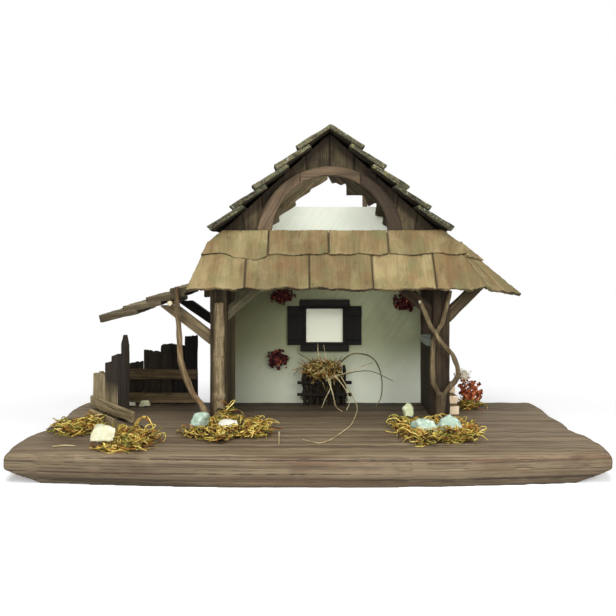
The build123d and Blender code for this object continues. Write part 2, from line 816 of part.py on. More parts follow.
purlin_face = Plane(origin=(purlin_x, lean_to_front, purlin_z), x_dir=(1, 0, 0),
                    z_dir=(0, -1, 0)) * Circle(purlin_radius)
save("lean_to_purlin", extrude(purlin_face, lean_to_front - lean_to_back))
purlin_under = purlin_z - purlin_radius
front_lean_brace = brace(left_face, beam_bottom - lean_brace_drop, lean_brace_width, -1,
                         lean_brace_slope_share, purlin_under, brace_front, brace_front + brace_size)
back_lean_brace = brace(left_face, beam_bottom - lean_back_brace_drop, lean_back_brace_width, -1,
                        lean_back_brace_slope_share, purlin_under, back_brace_front,
                        back_brace_front + brace_size)
save("lean_to_front_brace", front_lean_brace)
save("lean_to_back_brace", back_lean_brace)

# Back fence of the pen: broken-topped boards on two rails
back_fence_x = left_face - back_fence_reach
back_fence_y = wall_front - back_fence_setback
boards = []
for i, (low, high) in enumerate(back_fence_top_shares):
    x0, x1 = [back_fence_x + back_fence_length * share for share in back_fence_edge_shares[i:i + 2]]
    points = [
        (x0 + board_gap / 2, base_top),
        (x1 - board_gap / 2, base_top),
        (x1 - board_gap / 2, base_top + back_fence_height * high),
        (x0 + board_gap / 2, base_top + back_fence_height * low),
    ]
    boards.append(front_prism(points, back_fence_y, back_fence_y + fence_board_thickness))
save("back_fence_boards", *boards)
rails = []
for rise in (back_rail_low_rise, back_rail_rise):
    rails.append(block(back_fence_x, back_fence_x + back_fence_length,
                       back_fence_y - rail_thickness, back_fence_y,
                       base_top + rise, base_top + rise + rail_height))
save("back_fence_rails", *rails)

# Side fence: pickets set at a slant, a low rail, and a plank in front
side_fence_x = left_face - side_fence_reach
side_fence_y = wall_front - side_fence_setback
fence_place = Pos(side_fence_x, side_fence_y, base_top) * Rot(0, 0, -side_fence_angle)
pickets = []
for i, (low, high) in enumerate(picket_top_shares):
    x0, x1 = [side_fence_length * share for share in picket_edge_shares[i:i + 2]]
    left_top = side_fence_height * low
    right_top_z = side_fence_height * high
    points = [(x0 + board_gap / 2, 0), (x1 - board_gap / 2, 0), (x1 - board_gap / 2, right_top_z)]
    if i == len(picket_top_shares) - 1:
        points.append(((x0 + x1) / 2, max(left_top, right_top_z) + picket_point))
    points.append((x0 + board_gap / 2, left_top))
    pickets.append(fence_place * front_prism(points, 0, fence_board_thickness))
save("side_fence_pickets", *pickets)
low_rail = block(0, side_fence_length, -rail_thickness, 0, side_rail_rise, side_rail_rise + rail_height)
plank_back = -rail_thickness - loose_plank_stand_off
loose_plank = block(loose_plank_start, loose_plank_start + loose_plank_length, plank_back - rail_thickness,
                    plank_back, 0, loose_plank_height)
save("side_fence_rails", fence_place * low_rail, fence_place * loose_plank)

# Branches: an upright and a leaning one at the left post, a forked one at the right post
upright_y = house_front - upright_diameter * max(width for _, width in upright_shares) / 2 - seat_clearance
upright_x = left_face + post_size / 2 + upright_shift
save("left_upright_branch", branch([
    ((upright_x, upright_y, base_top + upright_height * rise), upright_diameter * width)
    for rise, width in upright_shares
]))
leaning_foot = left_face + leaning_foot_shift
leaning_y = lean_to_front - leaning_diameter * leaning_shares[0][2] / 2 - seat_clearance
save("left_leaning_branch", branch([
    ((leaning_foot - leaning_reach * out, leaning_y - leaning_foot_forward * (1 - rise),
      base_top + leaning_height * rise), leaning_diameter * width)
    for out, rise, width in leaning_shares
]))
fork_x = inner_right + fork_foot_shift
fork_y = house_front - fork_diameter * fork_trunk_shares[0][2] / 2 - seat_clearance


def prong(shares, diameter, y_end):
    top_share = shares[-1][1]
    return branch([
        ((fork_x + fork_reach * out, between(fork_y, y_end, rise / top_share), base_top + fork_height * rise),
         diameter * width)
        for out, rise, width in shares
    ])


prong_back = house_front - prong_diameter / 2 - seat_clearance
trunk = prong(fork_trunk_shares, fork_diameter, fork_y)
left_prong = prong(fork_left_shares, prong_diameter, prong_back)
right_prong = prong(fork_right_shares, prong_diameter, prong_back - prong_spread)
save("right_forked_branch", trunk + left_prong + right_prong)

# Hay rack of thin sticks against the wall, with its hay
rack_left = house_center - rack_offset - rack_width / 2
rack_back = wall_front - rack_stand_off
stick_front = rack_back - rack_stick
sticks = []
stick_pitch = (rack_width - rack_stick) / (rack_stick_count - 1)
for i in range(rack_stick_count):
    x0 = rack_left + i * stick_pitch
    sticks.append(block(x0, x0 + rack_stick, stick_front, rack_back, base_top, base_top + rack_height))
for rise in rack_bar_rises:
    sticks.append(block(rack_left - rack_overhang, rack_left + rack_width + rack_overhang,
                        stick_front - rack_stick, stick_front, base_top + rise, base_top + rise + rack_stick))
save("hay_rack", *sticks)
hay_low = base_top + rack_bar_rises[0]
hay_seat = base_top + rack_height + seat_clearance
save("hay", side_prism([
    (rack_back + seat_clearance, hay_low),
    (wall_front - seat_clearance, hay_low),
    (wall_front - seat_clearance, hay_seat + hay_height / 2),
    (wall_front - rack_stand_off / 2, hay_seat + hay_height),
    (wall_front - hay_depth / 2, hay_seat + hay_height),
    (wall_front - hay_depth, hay_seat),
    (rack_back + seat_clearance, hay_seat),
], rack_left, rack_left + rack_width))

# Moss pads, the stones on and beside them, dried flowers and firewood
def set_stones(x, y, z, spread_x, spread_y, shares):
    """Stones round a place, each with its shares of the spread and of the stone sizes."""
    return [
        lump(Pos(x + spread_x * out, y + spread_y * back, z), stone_width * width, stone_depth * depth,
             stone_height * height, stone_level_shares, turn)
        for turn, (out, back, width, depth, height) in enumerate(shares)
    ]


corner_moss_x = corner_moss_inset - base_length / 2
corner_moss_y = corner_moss_setback - base_depth / 2
left_moss_x = left_face + left_moss_inset
right_moss_x = right_face - right_moss_inset
moss_places = (
    (corner_moss_x, corner_moss_y, corner_moss_width, corner_moss_depth, corner_stone_shares),
    (side_fence_x + pen_moss_inset, side_fence_y - pen_moss_forward, pen_moss_width, pen_moss_depth, ()),
    (left_moss_x, house_front - left_moss_forward, left_moss_width, left_moss_depth, left_stone_shares),
    (right_moss_x, house_front - right_moss_forward, right_moss_width, right_moss_depth, right_stone_shares),
)
pads = []
stones = []
for turn, (x, y, width, depth, shares) in enumerate(moss_places):
    pads.append(lump(Pos(x, y, base_top), width, depth, moss_height, moss_level_shares, turn))
    stones += set_stones(x, y, base_top + moss_height, width, depth, shares)
save("moss_pads", *pads)
stones += set_stones(back_fence_x, back_fence_y, base_top, back_fence_length, -pen_stone_forward,
                     pen_stone_shares)
stones += set_stones(inner_right - bay_stone_inset, house_front + bay_stone_setback, base_top, 0, 0,
                     bay_stone_shares)
save("stones", *stones)
bunches = []
for turn, (across, rise, width, height) in enumerate(wall_bunch_shares):
    spot = (between(inner_left, inner_right, across), wall_front, between(window_bottom, window_top, rise))
    place = Plane(origin=spot, x_dir=(1, 0, 0), z_dir=(0, -1, 0)).location
    bunches.append(lump(place, wall_bunch_width * width, wall_bunch_height * height, wall_bunch_depth,
                        bunch_level_shares, turn))
corner_place = Pos(right_face + corner_bunch_reach, wall_front - corner_bunch_setback, base_top)
bunches.append(lump(corner_place, corner_bunch_width, corner_bunch_depth, corner_bunch_height,
                    bunch_level_shares, len(bunches)))
save("dried_flower_bunches", *bunches)
log_front = house_front + log_setback
logs = []
for i in range(log_count):
    low = base_top + i * log_height
    points = [
        (right_face + seat_clearance, low),
        (right_face + seat_clearance + log_width, low),
        (right_face + seat_clearance + log_width - log_taper, low + log_height),
        (right_face + seat_clearance, low + log_height),
    ]
    logs.append(front_prism(points, log_front, log_front + log_length))
save("firewood_logs", *logs)
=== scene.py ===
import math
import random

import bmesh
import bpy
import numpy as np
from mathutils import Matrix, Vector, noise


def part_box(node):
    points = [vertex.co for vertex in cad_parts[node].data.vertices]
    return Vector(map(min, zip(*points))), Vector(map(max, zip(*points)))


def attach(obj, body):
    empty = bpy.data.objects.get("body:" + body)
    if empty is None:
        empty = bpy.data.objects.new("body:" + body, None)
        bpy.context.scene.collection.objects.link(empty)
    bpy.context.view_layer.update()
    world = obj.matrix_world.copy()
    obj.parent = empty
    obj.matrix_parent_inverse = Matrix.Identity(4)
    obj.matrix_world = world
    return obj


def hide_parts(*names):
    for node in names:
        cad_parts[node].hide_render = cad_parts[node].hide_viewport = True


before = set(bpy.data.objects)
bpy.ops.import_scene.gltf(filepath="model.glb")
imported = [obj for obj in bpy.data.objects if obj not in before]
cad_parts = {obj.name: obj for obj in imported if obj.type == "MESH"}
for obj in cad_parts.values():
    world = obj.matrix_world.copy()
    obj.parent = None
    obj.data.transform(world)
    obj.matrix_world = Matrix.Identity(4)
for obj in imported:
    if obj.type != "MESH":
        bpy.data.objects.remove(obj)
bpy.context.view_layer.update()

# Base board
# One thick softwood plank, planed, stained grey-brown and sawn to wavy ends.
# Its edges are rounded over by hand, and everything else stands glued on top of it.
mm = 0.001


def linear(code):
    """An sRGB hex colour as linear red, green, blue and full alpha."""
    parts = [int(code[i:i + 2], 16) / 255 for i in (1, 3, 5)]
    return [p / 12.92 if p <= 0.04045 else ((p + 0.055) / 1.055) ** 2.4 for p in parts] + [1]


def add(material, kind, links=None, stops=(), **settings):
    """Adds a node with its settings, its inputs and its ramp stops. An input is a plain value, a
    socket, or a node that stands for its first output."""
    node = material.node_tree.nodes.new(f"ShaderNode{kind}")
    for key, value in settings.items():
        setattr(node, key, value)
    for key, value in (links or {}).items():
        if isinstance(value, bpy.types.Node):
            value = value.outputs[0]
        if isinstance(value, bpy.types.NodeSocket):
            material.node_tree.links.new(value, node.inputs[key])
        else:
            node.inputs[key].default_value = value
    for i, (place, code) in enumerate(stops):
        stop = node.color_ramp.elements[i] if i < 2 else node.color_ramp.elements.new(place)
        stop.position = place
        stop.color = linear(code)
    return node


def new_material(name):
    """An empty material, ready for its nodes."""
    material = bpy.data.materials.new(name)
    material.use_nodes = True
    material.node_tree.nodes.clear()
    return material


def mix(material, share, first, second):
    """One colour laid over another by a share."""
    return add(material, "Mix", {0: share, 6: first, 7: second}, data_type="RGBA").outputs[2]


def streaks(material, place, size, rough=0.5):
    """Noise stretched along the grain, its size in millimetres along each axis."""
    scale = [1 / (part * mm) for part in size]
    stretched = add(material, "VectorMath", {0: place, 1: scale}, operation="MULTIPLY")
    return add(material, "TexNoise", {"Vector": stretched, "Scale": 1, "Detail": 4, "Roughness": rough})


# Near-black laid over wood where its vertices ask for it: dark joints and marks, and painted shade.
dark_marks_and_shade_colour = "#21180f"


def wood(name, colours, fibre, band, dirt, wear, cut, rough, spots=()):
    """Bare or stained timber: fine fibres and broad year bands along the grain in a dark, a middle
    and a light colour, dirt in patches, paler wear on the corners, cut ends of their own colour,
    spots or streaks that have grown on it, and a near-black where the vertices ask for it, for dark
    joints and marks and for painted shade. Sizes are in millimetres, across the grain and along it.
    Dirt, wear and spots each end with their share."""
    material = new_material(name)
    dark, middle, light = colours
    dirt_colour, dirt_size, dirt_share = dirt
    wear_colour, wear_share = wear
    grain = add(material, "Attribute", attribute_name="grain").outputs["Vector"]
    tone, end, dark_marks_and_shade = (add(material, "Attribute", attribute_name=layer).outputs["Fac"]
                        for layer in ("tone", "end", "dark_marks_and_shade"))

    def along_grain(across, along):
        return streaks(material, grain, (across, along, across), 0.62)

    fibres = along_grain(*fibre)
    mixed = add(material, "Mix", {0: 0.55, 2: fibres, 3: along_grain(*band)})
    lifted = add(material, "Math", {0: tone, 1: 0.24, 2: -0.12}, operation="MULTIPLY_ADD")
    shade = add(material, "Math", {0: mixed, 1: lifted}, operation="ADD")
    colour = add(material, "ValToRGB", {"Fac": shade}, stops=((0.36, dark), (0.64, light), (0.5, middle)))
    dirt_and_shade = add(material, "MapRange", {
        "Value": along_grain(dirt_size / 2.2, dirt_size), "From Min": 0.48, "From Max": 0.66,
        "To Max": dirt_share})
    colour = mix(material, dirt_and_shade, colour, linear(dirt_colour))
    bend = add(material, "NewGeometry").outputs["Pointiness"]
    worn = add(material, "MapRange", {
        "Value": bend, "From Min": 0.53, "From Max": 0.62, "To Max": wear_share})
    colour = mix(material, worn, colour, linear(wear_colour))
    colour = mix(material, end, colour, linear(cut))
    for code, across, along, level, share in spots:
        grown = add(material, "MapRange", {
            "Value": along_grain(across, along), "From Min": level, "From Max": level + 0.05 + 0.008 * across,
            "To Max": share})
        colour = mix(material, grown, colour, linear(code))
    colour = mix(material, dark_marks_and_shade, colour, linear(dark_marks_and_shade_colour))
    bump = add(material, "Bump", {"Height": fibres, "Strength": 0.6, "Distance": 0.6 * mm})
    shader = add(material, "BsdfPrincipled", {
        "Base Color": colour, "Roughness": rough, "IOR": 1.45, "Specular IOR Level": 0.3, "Normal": bump})
    add(material, "OutputMaterial", {"Surface": shader})
    return material


def solids(node):
    """The separate solids of a CAD node, each a bmesh of its own with its corners merged."""
    whole = bmesh.new()
    whole.from_mesh(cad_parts[node].data)
    bmesh.ops.remove_doubles(whole, verts=whole.verts, dist=0.001 * mm)
    whole.faces.index_update()
    found = []
    for first in whole.faces:
        if first.tag:
            continue
        first.tag = True
        island = [first]
        for face in island:
            for other in (near for edge in face.edges for near in edge.link_faces):
                if not other.tag:
                    other.tag = True
                    island.append(other)
        kept = {face.index for face in island}
        solid = whole.copy()
        solid.faces.index_update()
        others = [face for face in solid.faces if face.index not in kept]
        bmesh.ops.delete(solid, geom=others, context="FACES")
        solid.normal_update()
        found.append(solid)
    whole.free()
    return found


def grain_frame(solid, way):
    """Directions across the grain, along it and out of the widest face of a solid."""
    areas = {}
    for face in solid.faces:
        key = tuple(round(part, 2) for part in face.normal)
        areas[key] = areas.get(key, 0) + face.calc_area()
    out = Vector(max(areas, key=areas.get))
    along = Vector((0, 0, 1))
    if way == "long":
        spread = np.cov(np.array([vert.co for vert in solid.verts]).T)
        along = Vector(np.linalg.eigh(spread)[1][:, 2])
        along *= math.copysign(1, max(along, key=abs))
    elif way == "uphill":
        along -= out * along.dot(out)
    along.normalize()
    out -= along * out.dot(along)
    if out.length < 0.1:
        out = Vector((0, -1, 0)) - along * -along.y
    out.normalize()
    return along.cross(out), along, out


def new_object(name, data):
    """An object in the scene, at the origin."""
    made = bpy.data.objects.new(name, data)
    bpy.context.scene.collection.objects.link(made)
    return made


def absorb(body, holder):
    """Moves the finished mesh of an object into a body."""
    ready = holder.evaluated_get(bpy.context.evaluated_depsgraph_get())
    mesh = bpy.data.meshes.new_from_object(ready)
    body.from_mesh(mesh)
    bpy.data.objects.remove(holder)
    bpy.data.meshes.remove(mesh)


def mesh_evenly(body, solid, size):
    """Adds a solid to a body, meshed evenly with its corners softened by about one voxel."""
    blank = bpy.data.meshes.new("blank")
    solid.to_mesh(blank)
    solid.free()
    holder = new_object("blank", blank)
    remesh = holder.modifiers.new("voxels", "REMESH")
    remesh.mode = "VOXEL"
    remesh.voxel_size = size
    remesh.use_smooth_shade = True
    absorb(body, holder)
    bpy.data.meshes.remove(blank)


def place_piece(name, body, material, nodes=()):
    """A finished bmesh as a piece of the object, standing for its CAD nodes."""
    mesh = bpy.data.meshes.new(name)
    body.to_mesh(mesh)
    body.free()
    mesh.materials.append(material)
    piece = new_object(name, mesh)
    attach(piece, "root")
    if nodes:
        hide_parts(*nodes)


def ramp(value, start, end):
    """How far a value has gone from a start to an end, between 0 and 1."""
    return min(max((value - start) / (end - start), 0), 1)


groove_pitch = 2.2 * mm
groove_length = 38 * mm
warp_size = 17 * mm
tooth_width = 2.6 * mm
tooth_depth = 9 * mm
seam_inside = 1.6 * mm
seam_outside = 0.4 * mm


def carve(nodes, way, voxel, groove, wobble, foot_fray=0, head_fray=0, cup=0, seam=0, pick=None):
    """Solids of CAD nodes cut again in rough wood: grooves along the grain, uneven faces, frayed
    ends and cupped boards, all in millimetres. Each solid keeps its grain, its own tone, its cut
    ends and a share of darkening along its sides, for the joints. Some of the solids can be picked
    by number."""
    chance = random.Random(nodes[0])
    body = bmesh.new()
    grain = body.verts.layers.float_vector.new("grain")
    tone = body.verts.layers.float.new("tone")
    end_grain = body.verts.layers.float.new("end")
    dark_marks_and_shade = body.verts.layers.float.new("dark_marks_and_shade")
    runs = []
    found = [solid for node in nodes for solid in solids(node)]
    for solid in (found[i] for i in (pick or range(len(found)))):
        directions = grain_frame(solid, way)
        start = len(body.verts)
        mesh_evenly(body, solid, voxel * mm)
        runs.append((start, len(body.verts), directions))
    body.verts.ensure_lookup_table()
    body.normal_update()
    for start, end, (across, along, out) in runs:
        fresh = body.verts[start:end]
        shade = chance.random()
        shift = Vector([chance.uniform(0, 50) for _ in range(3)])
        bow = chance.uniform(-1, 1) * cup * mm
        places = [Vector((vert.co.dot(across), vert.co.dot(along), vert.co.dot(out))) for vert in fresh]
        columns = [round(place.x / (voxel * mm)) for place in places]
        middle = (min(place.x for place in places) + max(place.x for place in places)) / 2
        half = max(place.x for place in places) - middle
        feet = {}
        heads = {}
        for place, column in zip(places, columns):
            feet[column] = min(feet.get(column, place.y), place.y)
            heads[column] = max(heads.get(column, place.y), place.y)
        for vert, place, column in zip(fresh, places, columns):
            fine = Vector((place.x / groove_pitch, place.y / groove_length, place.z / groove_pitch)) + shift
            broad = place / warp_size + shift
            move = vert.normal * (groove * noise.noise(fine) + wobble * noise.noise(broad)) * mm
            move += out * bow * (((place.x - middle) / half) ** 2 - 0.3)
            tooth = 0.5 + 0.5 * noise.noise(Vector((place.x / tooth_width, shift.y, place.z / tooth_depth)))
            for fray, depth, towards in ((foot_fray, place.y - feet[column], 1),
                                         (head_fray, heads[column] - place.y, -1)):
                reach = 3 * fray * mm
                if depth < reach:
                    move += along * towards * fray * mm * tooth * (1 - depth / reach)
            vert[grain] = place + shift * 0.01
            vert[tone] = shade
            vert[end_grain] = ramp(abs(vert.normal.dot(along)), 0.6, 0.8)
            vert[dark_marks_and_shade] = seam * ramp(abs(place.x - middle), half - seam_inside, half - seam_outside)
            vert.co += move
            vert.co.z = max(vert.co.z, 0)
    return body


def timber(name, nodes, stain, slot, *cut, **ends):
    """A piece of wood carved from its CAD nodes and put in their place."""
    place_piece(name, carve(nodes, *cut, **ends), stain, nodes)


def darken(body, share):
    """Darkens a body by a share from 0 to 1 that is worked out for each vertex, for dark marks and for
    painted shade.
    """
    dark_marks_and_shade = body.verts.layers.float["dark_marks_and_shade"]
    for vert in body.verts:
        vert[dark_marks_and_shade] = max(vert[dark_marks_and_shade], share(vert))


base_stain = wood(
    "planed softwood, grey-brown stain", ("#43362a", "#6f604b", "#8d7d63"), (1.1, 110), (7, 420),
    ("#54412f", 95, 0.5), ("#8f8066", 0.2), "#66543f", 0.72,
    (("#3b3026", 11, 700, 0.53, 0.6), ("#6a4632", 9, 500, 0.55, 0.5), ("#a39274", 6, 600, 0.57, 0.5),
     ("#3a2a1e", 3.6, 700, 0.56, 0.6), ("#33241a", 1.9, 600, 0.55, 0.8)))
plank = carve(["base_board"], "long", 2.4, 0.25, 0.9)
grain = plank.verts.layers.float_vector["grain"]
front_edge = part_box("base_board")[0].y
room_low, room_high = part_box("back_wall")
room_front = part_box("front_left_post")[0].y
base_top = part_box("front_left_post")[0].z
for vert in plank.verts:
    vert[grain] += Vector((vert.co.y - front_edge, 0, 0)) * ramp(-vert.normal.y, 0.3, 0.8)


def base_shade_and_marks(vert):
    """Painted shade on the room's floor under the roof, darker streaks towards the foot of the
    plank's sides, and a dark line along the right half of its front."""
    x, y, z = vert.co
    # Painted shade: the floor darkens back into the room and into the pen on its left.
    room_shade = ramp(y, room_front - 60 * mm, room_low.y)
    room_shade *= ramp(x, room_high.x + 30 * mm, room_high.x - 30 * mm)
    room_shade *= ramp(x, room_low.x - 190 * mm, room_low.x - 60 * mm)
    streak = 0.5 + noise.noise(Vector((x / (160 * mm), y / (12 * mm), z / (6 * mm))))
    foot = ramp(z, base_top - 3 * mm, 4 * mm) * (0.45 + 0.5 * streak)
    line_height = (8 + 2 * noise.noise(Vector((x / (90 * mm), 0, 0)))) * mm
    line = math.exp(-((z - line_height) / (2 * mm)) ** 2)
    return max(0.85 * room_shade, 0.8 * ramp(foot, 0, 1), 0.9 * line * ramp(x, -60 * mm, 60 * mm))


darken(plank, base_shade_and_marks)
place_piece("base_plank", plank, base_stain, ["base_board"])

# House frame
# Four squared posts, a beam across the front, two wall plates and a ridge purlin, all of
# rough-sawn softwood stained brown and glued together. The right-hand posts are darker.
frame_stain = wood(
    "rough-sawn softwood, brown stain", ("#332a1c", "#5a4d37", "#776849"), (0.9, 45), (5, 200),
    ("#2a2217", 40, 0.6), ("#857555", 0.35), "#2e2517", 0.8, (("#1d170e", 2, 60, 0.66, 0.85),))
dark_stain_and_shade = wood(
    "rough-sawn softwood, dark brown stain and painted shade", ("#1c150e", "#33281b", "#493b29"), (0.9, 45), (5, 200),
    ("#17110b", 40, 0.6), ("#5c4c36", 0.35), "#221a10", 0.8, (("#120d08", 2, 60, 0.64, 0.85),))
for node, stain in (("front_left_post", frame_stain), ("front_right_post", dark_stain_and_shade),
                    ("back_left_post", frame_stain), ("back_right_post", dark_stain_and_shade)):
    timber(f"{node}_timber", [node], stain, "frame_timber", "long", 1.5, 0.35, 0.5)
for node in ("front_beam", "wall_plates", "ridge_purlin"):
    timber(f"{node}_timber", [node], frame_stain, "frame_timber", "long", 2, 0.35, 0.5)

# Braces
# Slanting struts sawn from thinner stock, butted between posts and beam, under the right pent
# roof and under the lean-to. They are stained from grey-brown to near-black; the dark brown of
# the right inner brace is painted shade.
brace_stain = wood(
    "rough-sawn softwood, thin brown stain", ("#46392a", "#7a6a4e", "#9d8c69"), (0.9, 40), (5, 160),
    ("#352b1d", 35, 0.5), ("#9c8c69", 0.35), "#3a3020", 0.8, (("#241c11", 2, 60, 0.66, 0.85),))
olive_stain = wood(
    "rough-sawn softwood, grey-olive stain", ("#2e2b20", "#534e39", "#716b50"), (0.9, 40), (5, 160),
    ("#27241a", 35, 0.5), ("#7b7558", 0.35), "#2c2a1e", 0.8, (("#1b1811", 2, 60, 0.66, 0.85),))
near_black_stain = wood(
    "rough-sawn softwood, near-black stain", ("#100e0b", "#201c17", "#302a22"), (0.9, 40), (5, 160),
    ("#0c0a08", 35, 0.5), ("#40382d", 0.3), "#0e0c0a", 0.8)
for node, stain in (("left_inner_brace", olive_stain), ("right_inner_brace", dark_stain_and_shade),
                    ("right_outer_brace", frame_stain), ("lean_to_front_brace", brace_stain),
                    ("lean_to_back_brace", near_black_stain)):
    timber(f"{node}_timber", [node], stain, "frame_timber", "long", 1.2, 0.35, 0.45)

# Back wall
# One thin board brushed with chalky off-white limewash, which keeps the streaks of the brush.
# It closes the house at the back and stops at a level edge in the gable. Painted shade turns the
# wash olive in the room, least at its foot, most to the left and towards the eave; the loft keeps
# the plain wash, and the edges and the outer side are bare wood.
def facing(material):
    """How far a surface faces backwards, from -1 at the front to 1 at the back."""
    normal = add(material, "NewGeometry").outputs["Normal"]
    return add(material, "SeparateXYZ", {0: normal}).outputs["Y"]


def coat_node(node, material):
    """A finish on a CAD node that keeps its own mesh."""
    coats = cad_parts[node].data.materials
    coats.clear()
    coats.append(material)


foot_low = 70 * mm
wall_shade_low = 80 * mm
foot_high = 150 * mm
loft_low = 232 * mm
loft_high = 262 * mm
limewash = new_material("brushed off-white limewash")
place = add(limewash, "TexCoord").outputs["Object"]
position = add(limewash, "SeparateXYZ", {0: place}).outputs
strokes = add(limewash, "Mapping", {
    "Vector": place, "Rotation": (0, 0.6, 0), "Scale": (4 * mm, 60 * mm, 60 * mm)}, vector_type="TEXTURE")
streak = add(limewash, "TexNoise", {"Vector": strokes, "Scale": 1, "Detail": 4, "Roughness": 0.6})
cloud = add(limewash, "TexNoise", {
    "Vector": place, "Scale": 1 / (55 * mm), "Detail": 3, "Roughness": 0.6})
blotch = add(limewash, "Mix", {0: 0.65, 2: streak, 3: cloud})
ragged = add(limewash, "Math", {0: blotch, 1: 50 * mm, 2: position["Z"]}, operation="MULTIPLY_ADD")
wash = linear("#f3f9e4")
# Painted shade: an olive coat over the wash above the wall's foot, and the plain wash again in the loft.
for low, high, light, dark in ((foot_low, foot_high, "#aab08c", "#8f9371"),
                               (loft_low, loft_high, "#f6f9ea", "#e6ebd8")):
    rise = add(limewash, "MapRange", {"Value": ragged, "From Min": low, "From Max": high},
               interpolation_type="SMOOTHSTEP")
    coat = add(limewash, "ValToRGB", {"Fac": blotch}, stops=((0.36, dark), (0.64, light)))
    wash = mix(limewash, rise, wash, coat)
# More painted shade: darker olive to the left and higher up in the room, none in the loft.
wall_shade = add(limewash, "MapRange", {
    "Value": position["X"], "From Min": room_low.x, "From Max": room_high.x, "To Min": 0.69,
    "To Max": 0})
for low, high, below, above in ((loft_low, loft_high, 1, 0), (wall_shade_low, foot_high, 1, 1.25)):
    share = add(limewash, "MapRange", {
        "Value": ragged, "From Min": low, "From Max": high, "To Min": below, "To Max": above})
    wall_shade = add(limewash, "Math", {0: wall_shade, 1: share}, operation="MULTIPLY")
wash = mix(limewash, wall_shade, wash, linear("#67664a"))
fibres = streaks(limewash, place, (1.6, 1000, 90))
bare = add(limewash, "ValToRGB", {"Fac": fibres}, stops=((0.36, "#806d4f"), (0.64, "#a8956f")))
outer = add(limewash, "MapRange", {"Value": facing(limewash), "From Min": -0.6, "From Max": -0.4})
wash = mix(limewash, outer, wash, bare)
brush = add(limewash, "Bump", {"Height": streak, "Strength": 0.3, "Distance": 0.4 * mm})
shader = add(limewash, "BsdfPrincipled", {
    "Base Color": wash, "Roughness": 0.9, "IOR": 1.45, "Specular IOR Level": 0.2, "Normal": brush})
add(limewash, "OutputMaterial", {"Surface": shader})
coat_node("back_wall", limewash)

# Window
# A pale sheet closes the opening. A dark-stained frame, lintel and sill stand round it, with two
# fixed ledged shutters glued flat on the wall beside it. A faint glow painted into the sheet
# stands for daylight from behind.
pane_paint = new_material("pale matt sheet")
# A faint emission paints a glow into the sheet, for daylight from behind.
shader = add(pane_paint, "BsdfPrincipled", {
    "Base Color": linear("#e6e8d3"), "Roughness": 0.55, "IOR": 1.45, "Emission Color": linear("#f6f5e2"),
    "Emission Strength": 0.02})
add(pane_paint, "OutputMaterial", {"Surface": shader})
coat_node("window_pane", pane_paint)
shutter_stain = wood(
    "thin softwood, near-black stain", ("#080706", "#110f0b", "#1b1711"), (0.8, 30), (4, 120),
    ("#060504", 25, 0.5), ("#2b251a", 0.3), "#0e0c08", 0.8)
timber("window_surround", ["window_frame"], shutter_stain, "dark_timber", "long", 0.8, 0.2, 0.2)
for node in ("left_shutter", "right_shutter"):
    timber(f"{node}_leaf", [node], shutter_stain, "shutter_stain", "up", 0.7, 0.2, 0.2)

# Side walls
# Upright rough boards between the posts: to the plate on the left, half height on the right,
# where a flat cap lies along their tops.
wall_stain = wood(
    "rough boards, dark brown stain", ("#251f15", "#443a28", "#5c4f38"), (0.9, 45), (5, 160),
    ("#1c170f", 40, 0.6), ("#6f6148", 0.3), "#2a2318", 0.82)
for node, stain in (("left_wall_boards", wall_stain), ("right_half_wall_boards", dark_stain_and_shade)):
    timber(f"{node}_planks", [node], stain, "frame_timber", "up", 1.6, 0.4, 0.4)
cap_stain = wood(
    "flat batten, weathered grey-green", ("#4b5147", "#7b8376", "#a3ab9c"), (0.9, 45), (5, 160),
    ("#3a3c33", 25, 0.5), ("#b3baa9", 0.4), "#6f776b", 0.82)
timber("half_wall_cap", ["right_half_wall_cap"], cap_stain, "frame_timber", "long", 1.4, 0.35, 0.4)

# Gable
# An arch band sawn in three segments stands on the front beam. Upright boards close the gable
# behind it, and split ragged boards hang under the roof at the back beside a short strut.
arch_stain = wood(
    "sawn softwood, brown stain", ("#43362a", "#6c5a44", "#84705a"), (0.9, 45), (5, 150),
    ("#3a2f22", 40, 0.55), ("#94805f", 0.35), "#3c3122", 0.78, (("#2c2317", 2.5, 50, 0.64, 0.85),))
# Painted shade darkens the arch band: the right segment much, the left one and the crown a little.
for part, shaded in (("left", 0.15), ("crown", 0.05), ("right", 0.85)):
    node = f"arch_{part}_segment"
    band = carve([node], "long", 1.2, 0.3, 0.4)
    darken(band, lambda vert: shaded)
    place_piece(f"arch_{part}_band", band, arch_stain, [node])
gable_stain = wood(
    "split boards, weathered brown", ("#322b1e", "#5a5039", "#786a4e"), (0.9, 40), (5, 150),
    ("#231d13", 30, 0.6), ("#8d7e5f", 0.4), "#2c2518", 0.85,
    (("#2c2f24", 9, 20, 0.58, 0.6), ("#120e08", 2.2, 120, 0.58, 0.9)))
planks = carve(["front_gable_boards"], "up", 1.1, 0.45, 0.5, seam=0.85)
gable_low, gable_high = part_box("front_gable_boards")
gable_middle = (gable_low.x + gable_high.x) / 2
gable_slope = 0.95


def gable_shade(vert):
    """Painted shade on the gable boards under the roof edge, and darker boards in the lower corners."""
    off = abs(vert.co.x - gable_middle)
    under = gable_high.z - gable_slope * off - vert.co.z
    return max(0.85 * ramp(under, 20 * mm, 8 * mm), 0.65 * ramp(off, 70 * mm, 105 * mm))


darken(planks, gable_shade)
place_piece("gable_planks", planks, gable_stain, ["front_gable_boards"])
timber("rear_ragged_planks", ["rear_gable_boards"], gable_stain, "dark_timber", "long", 1.2, 0.5, 0.5)
timber("rear_strut_stick", ["rear_gable_strut"], arch_stain, "dark_timber", "up", 1, 0.3, 0.3)

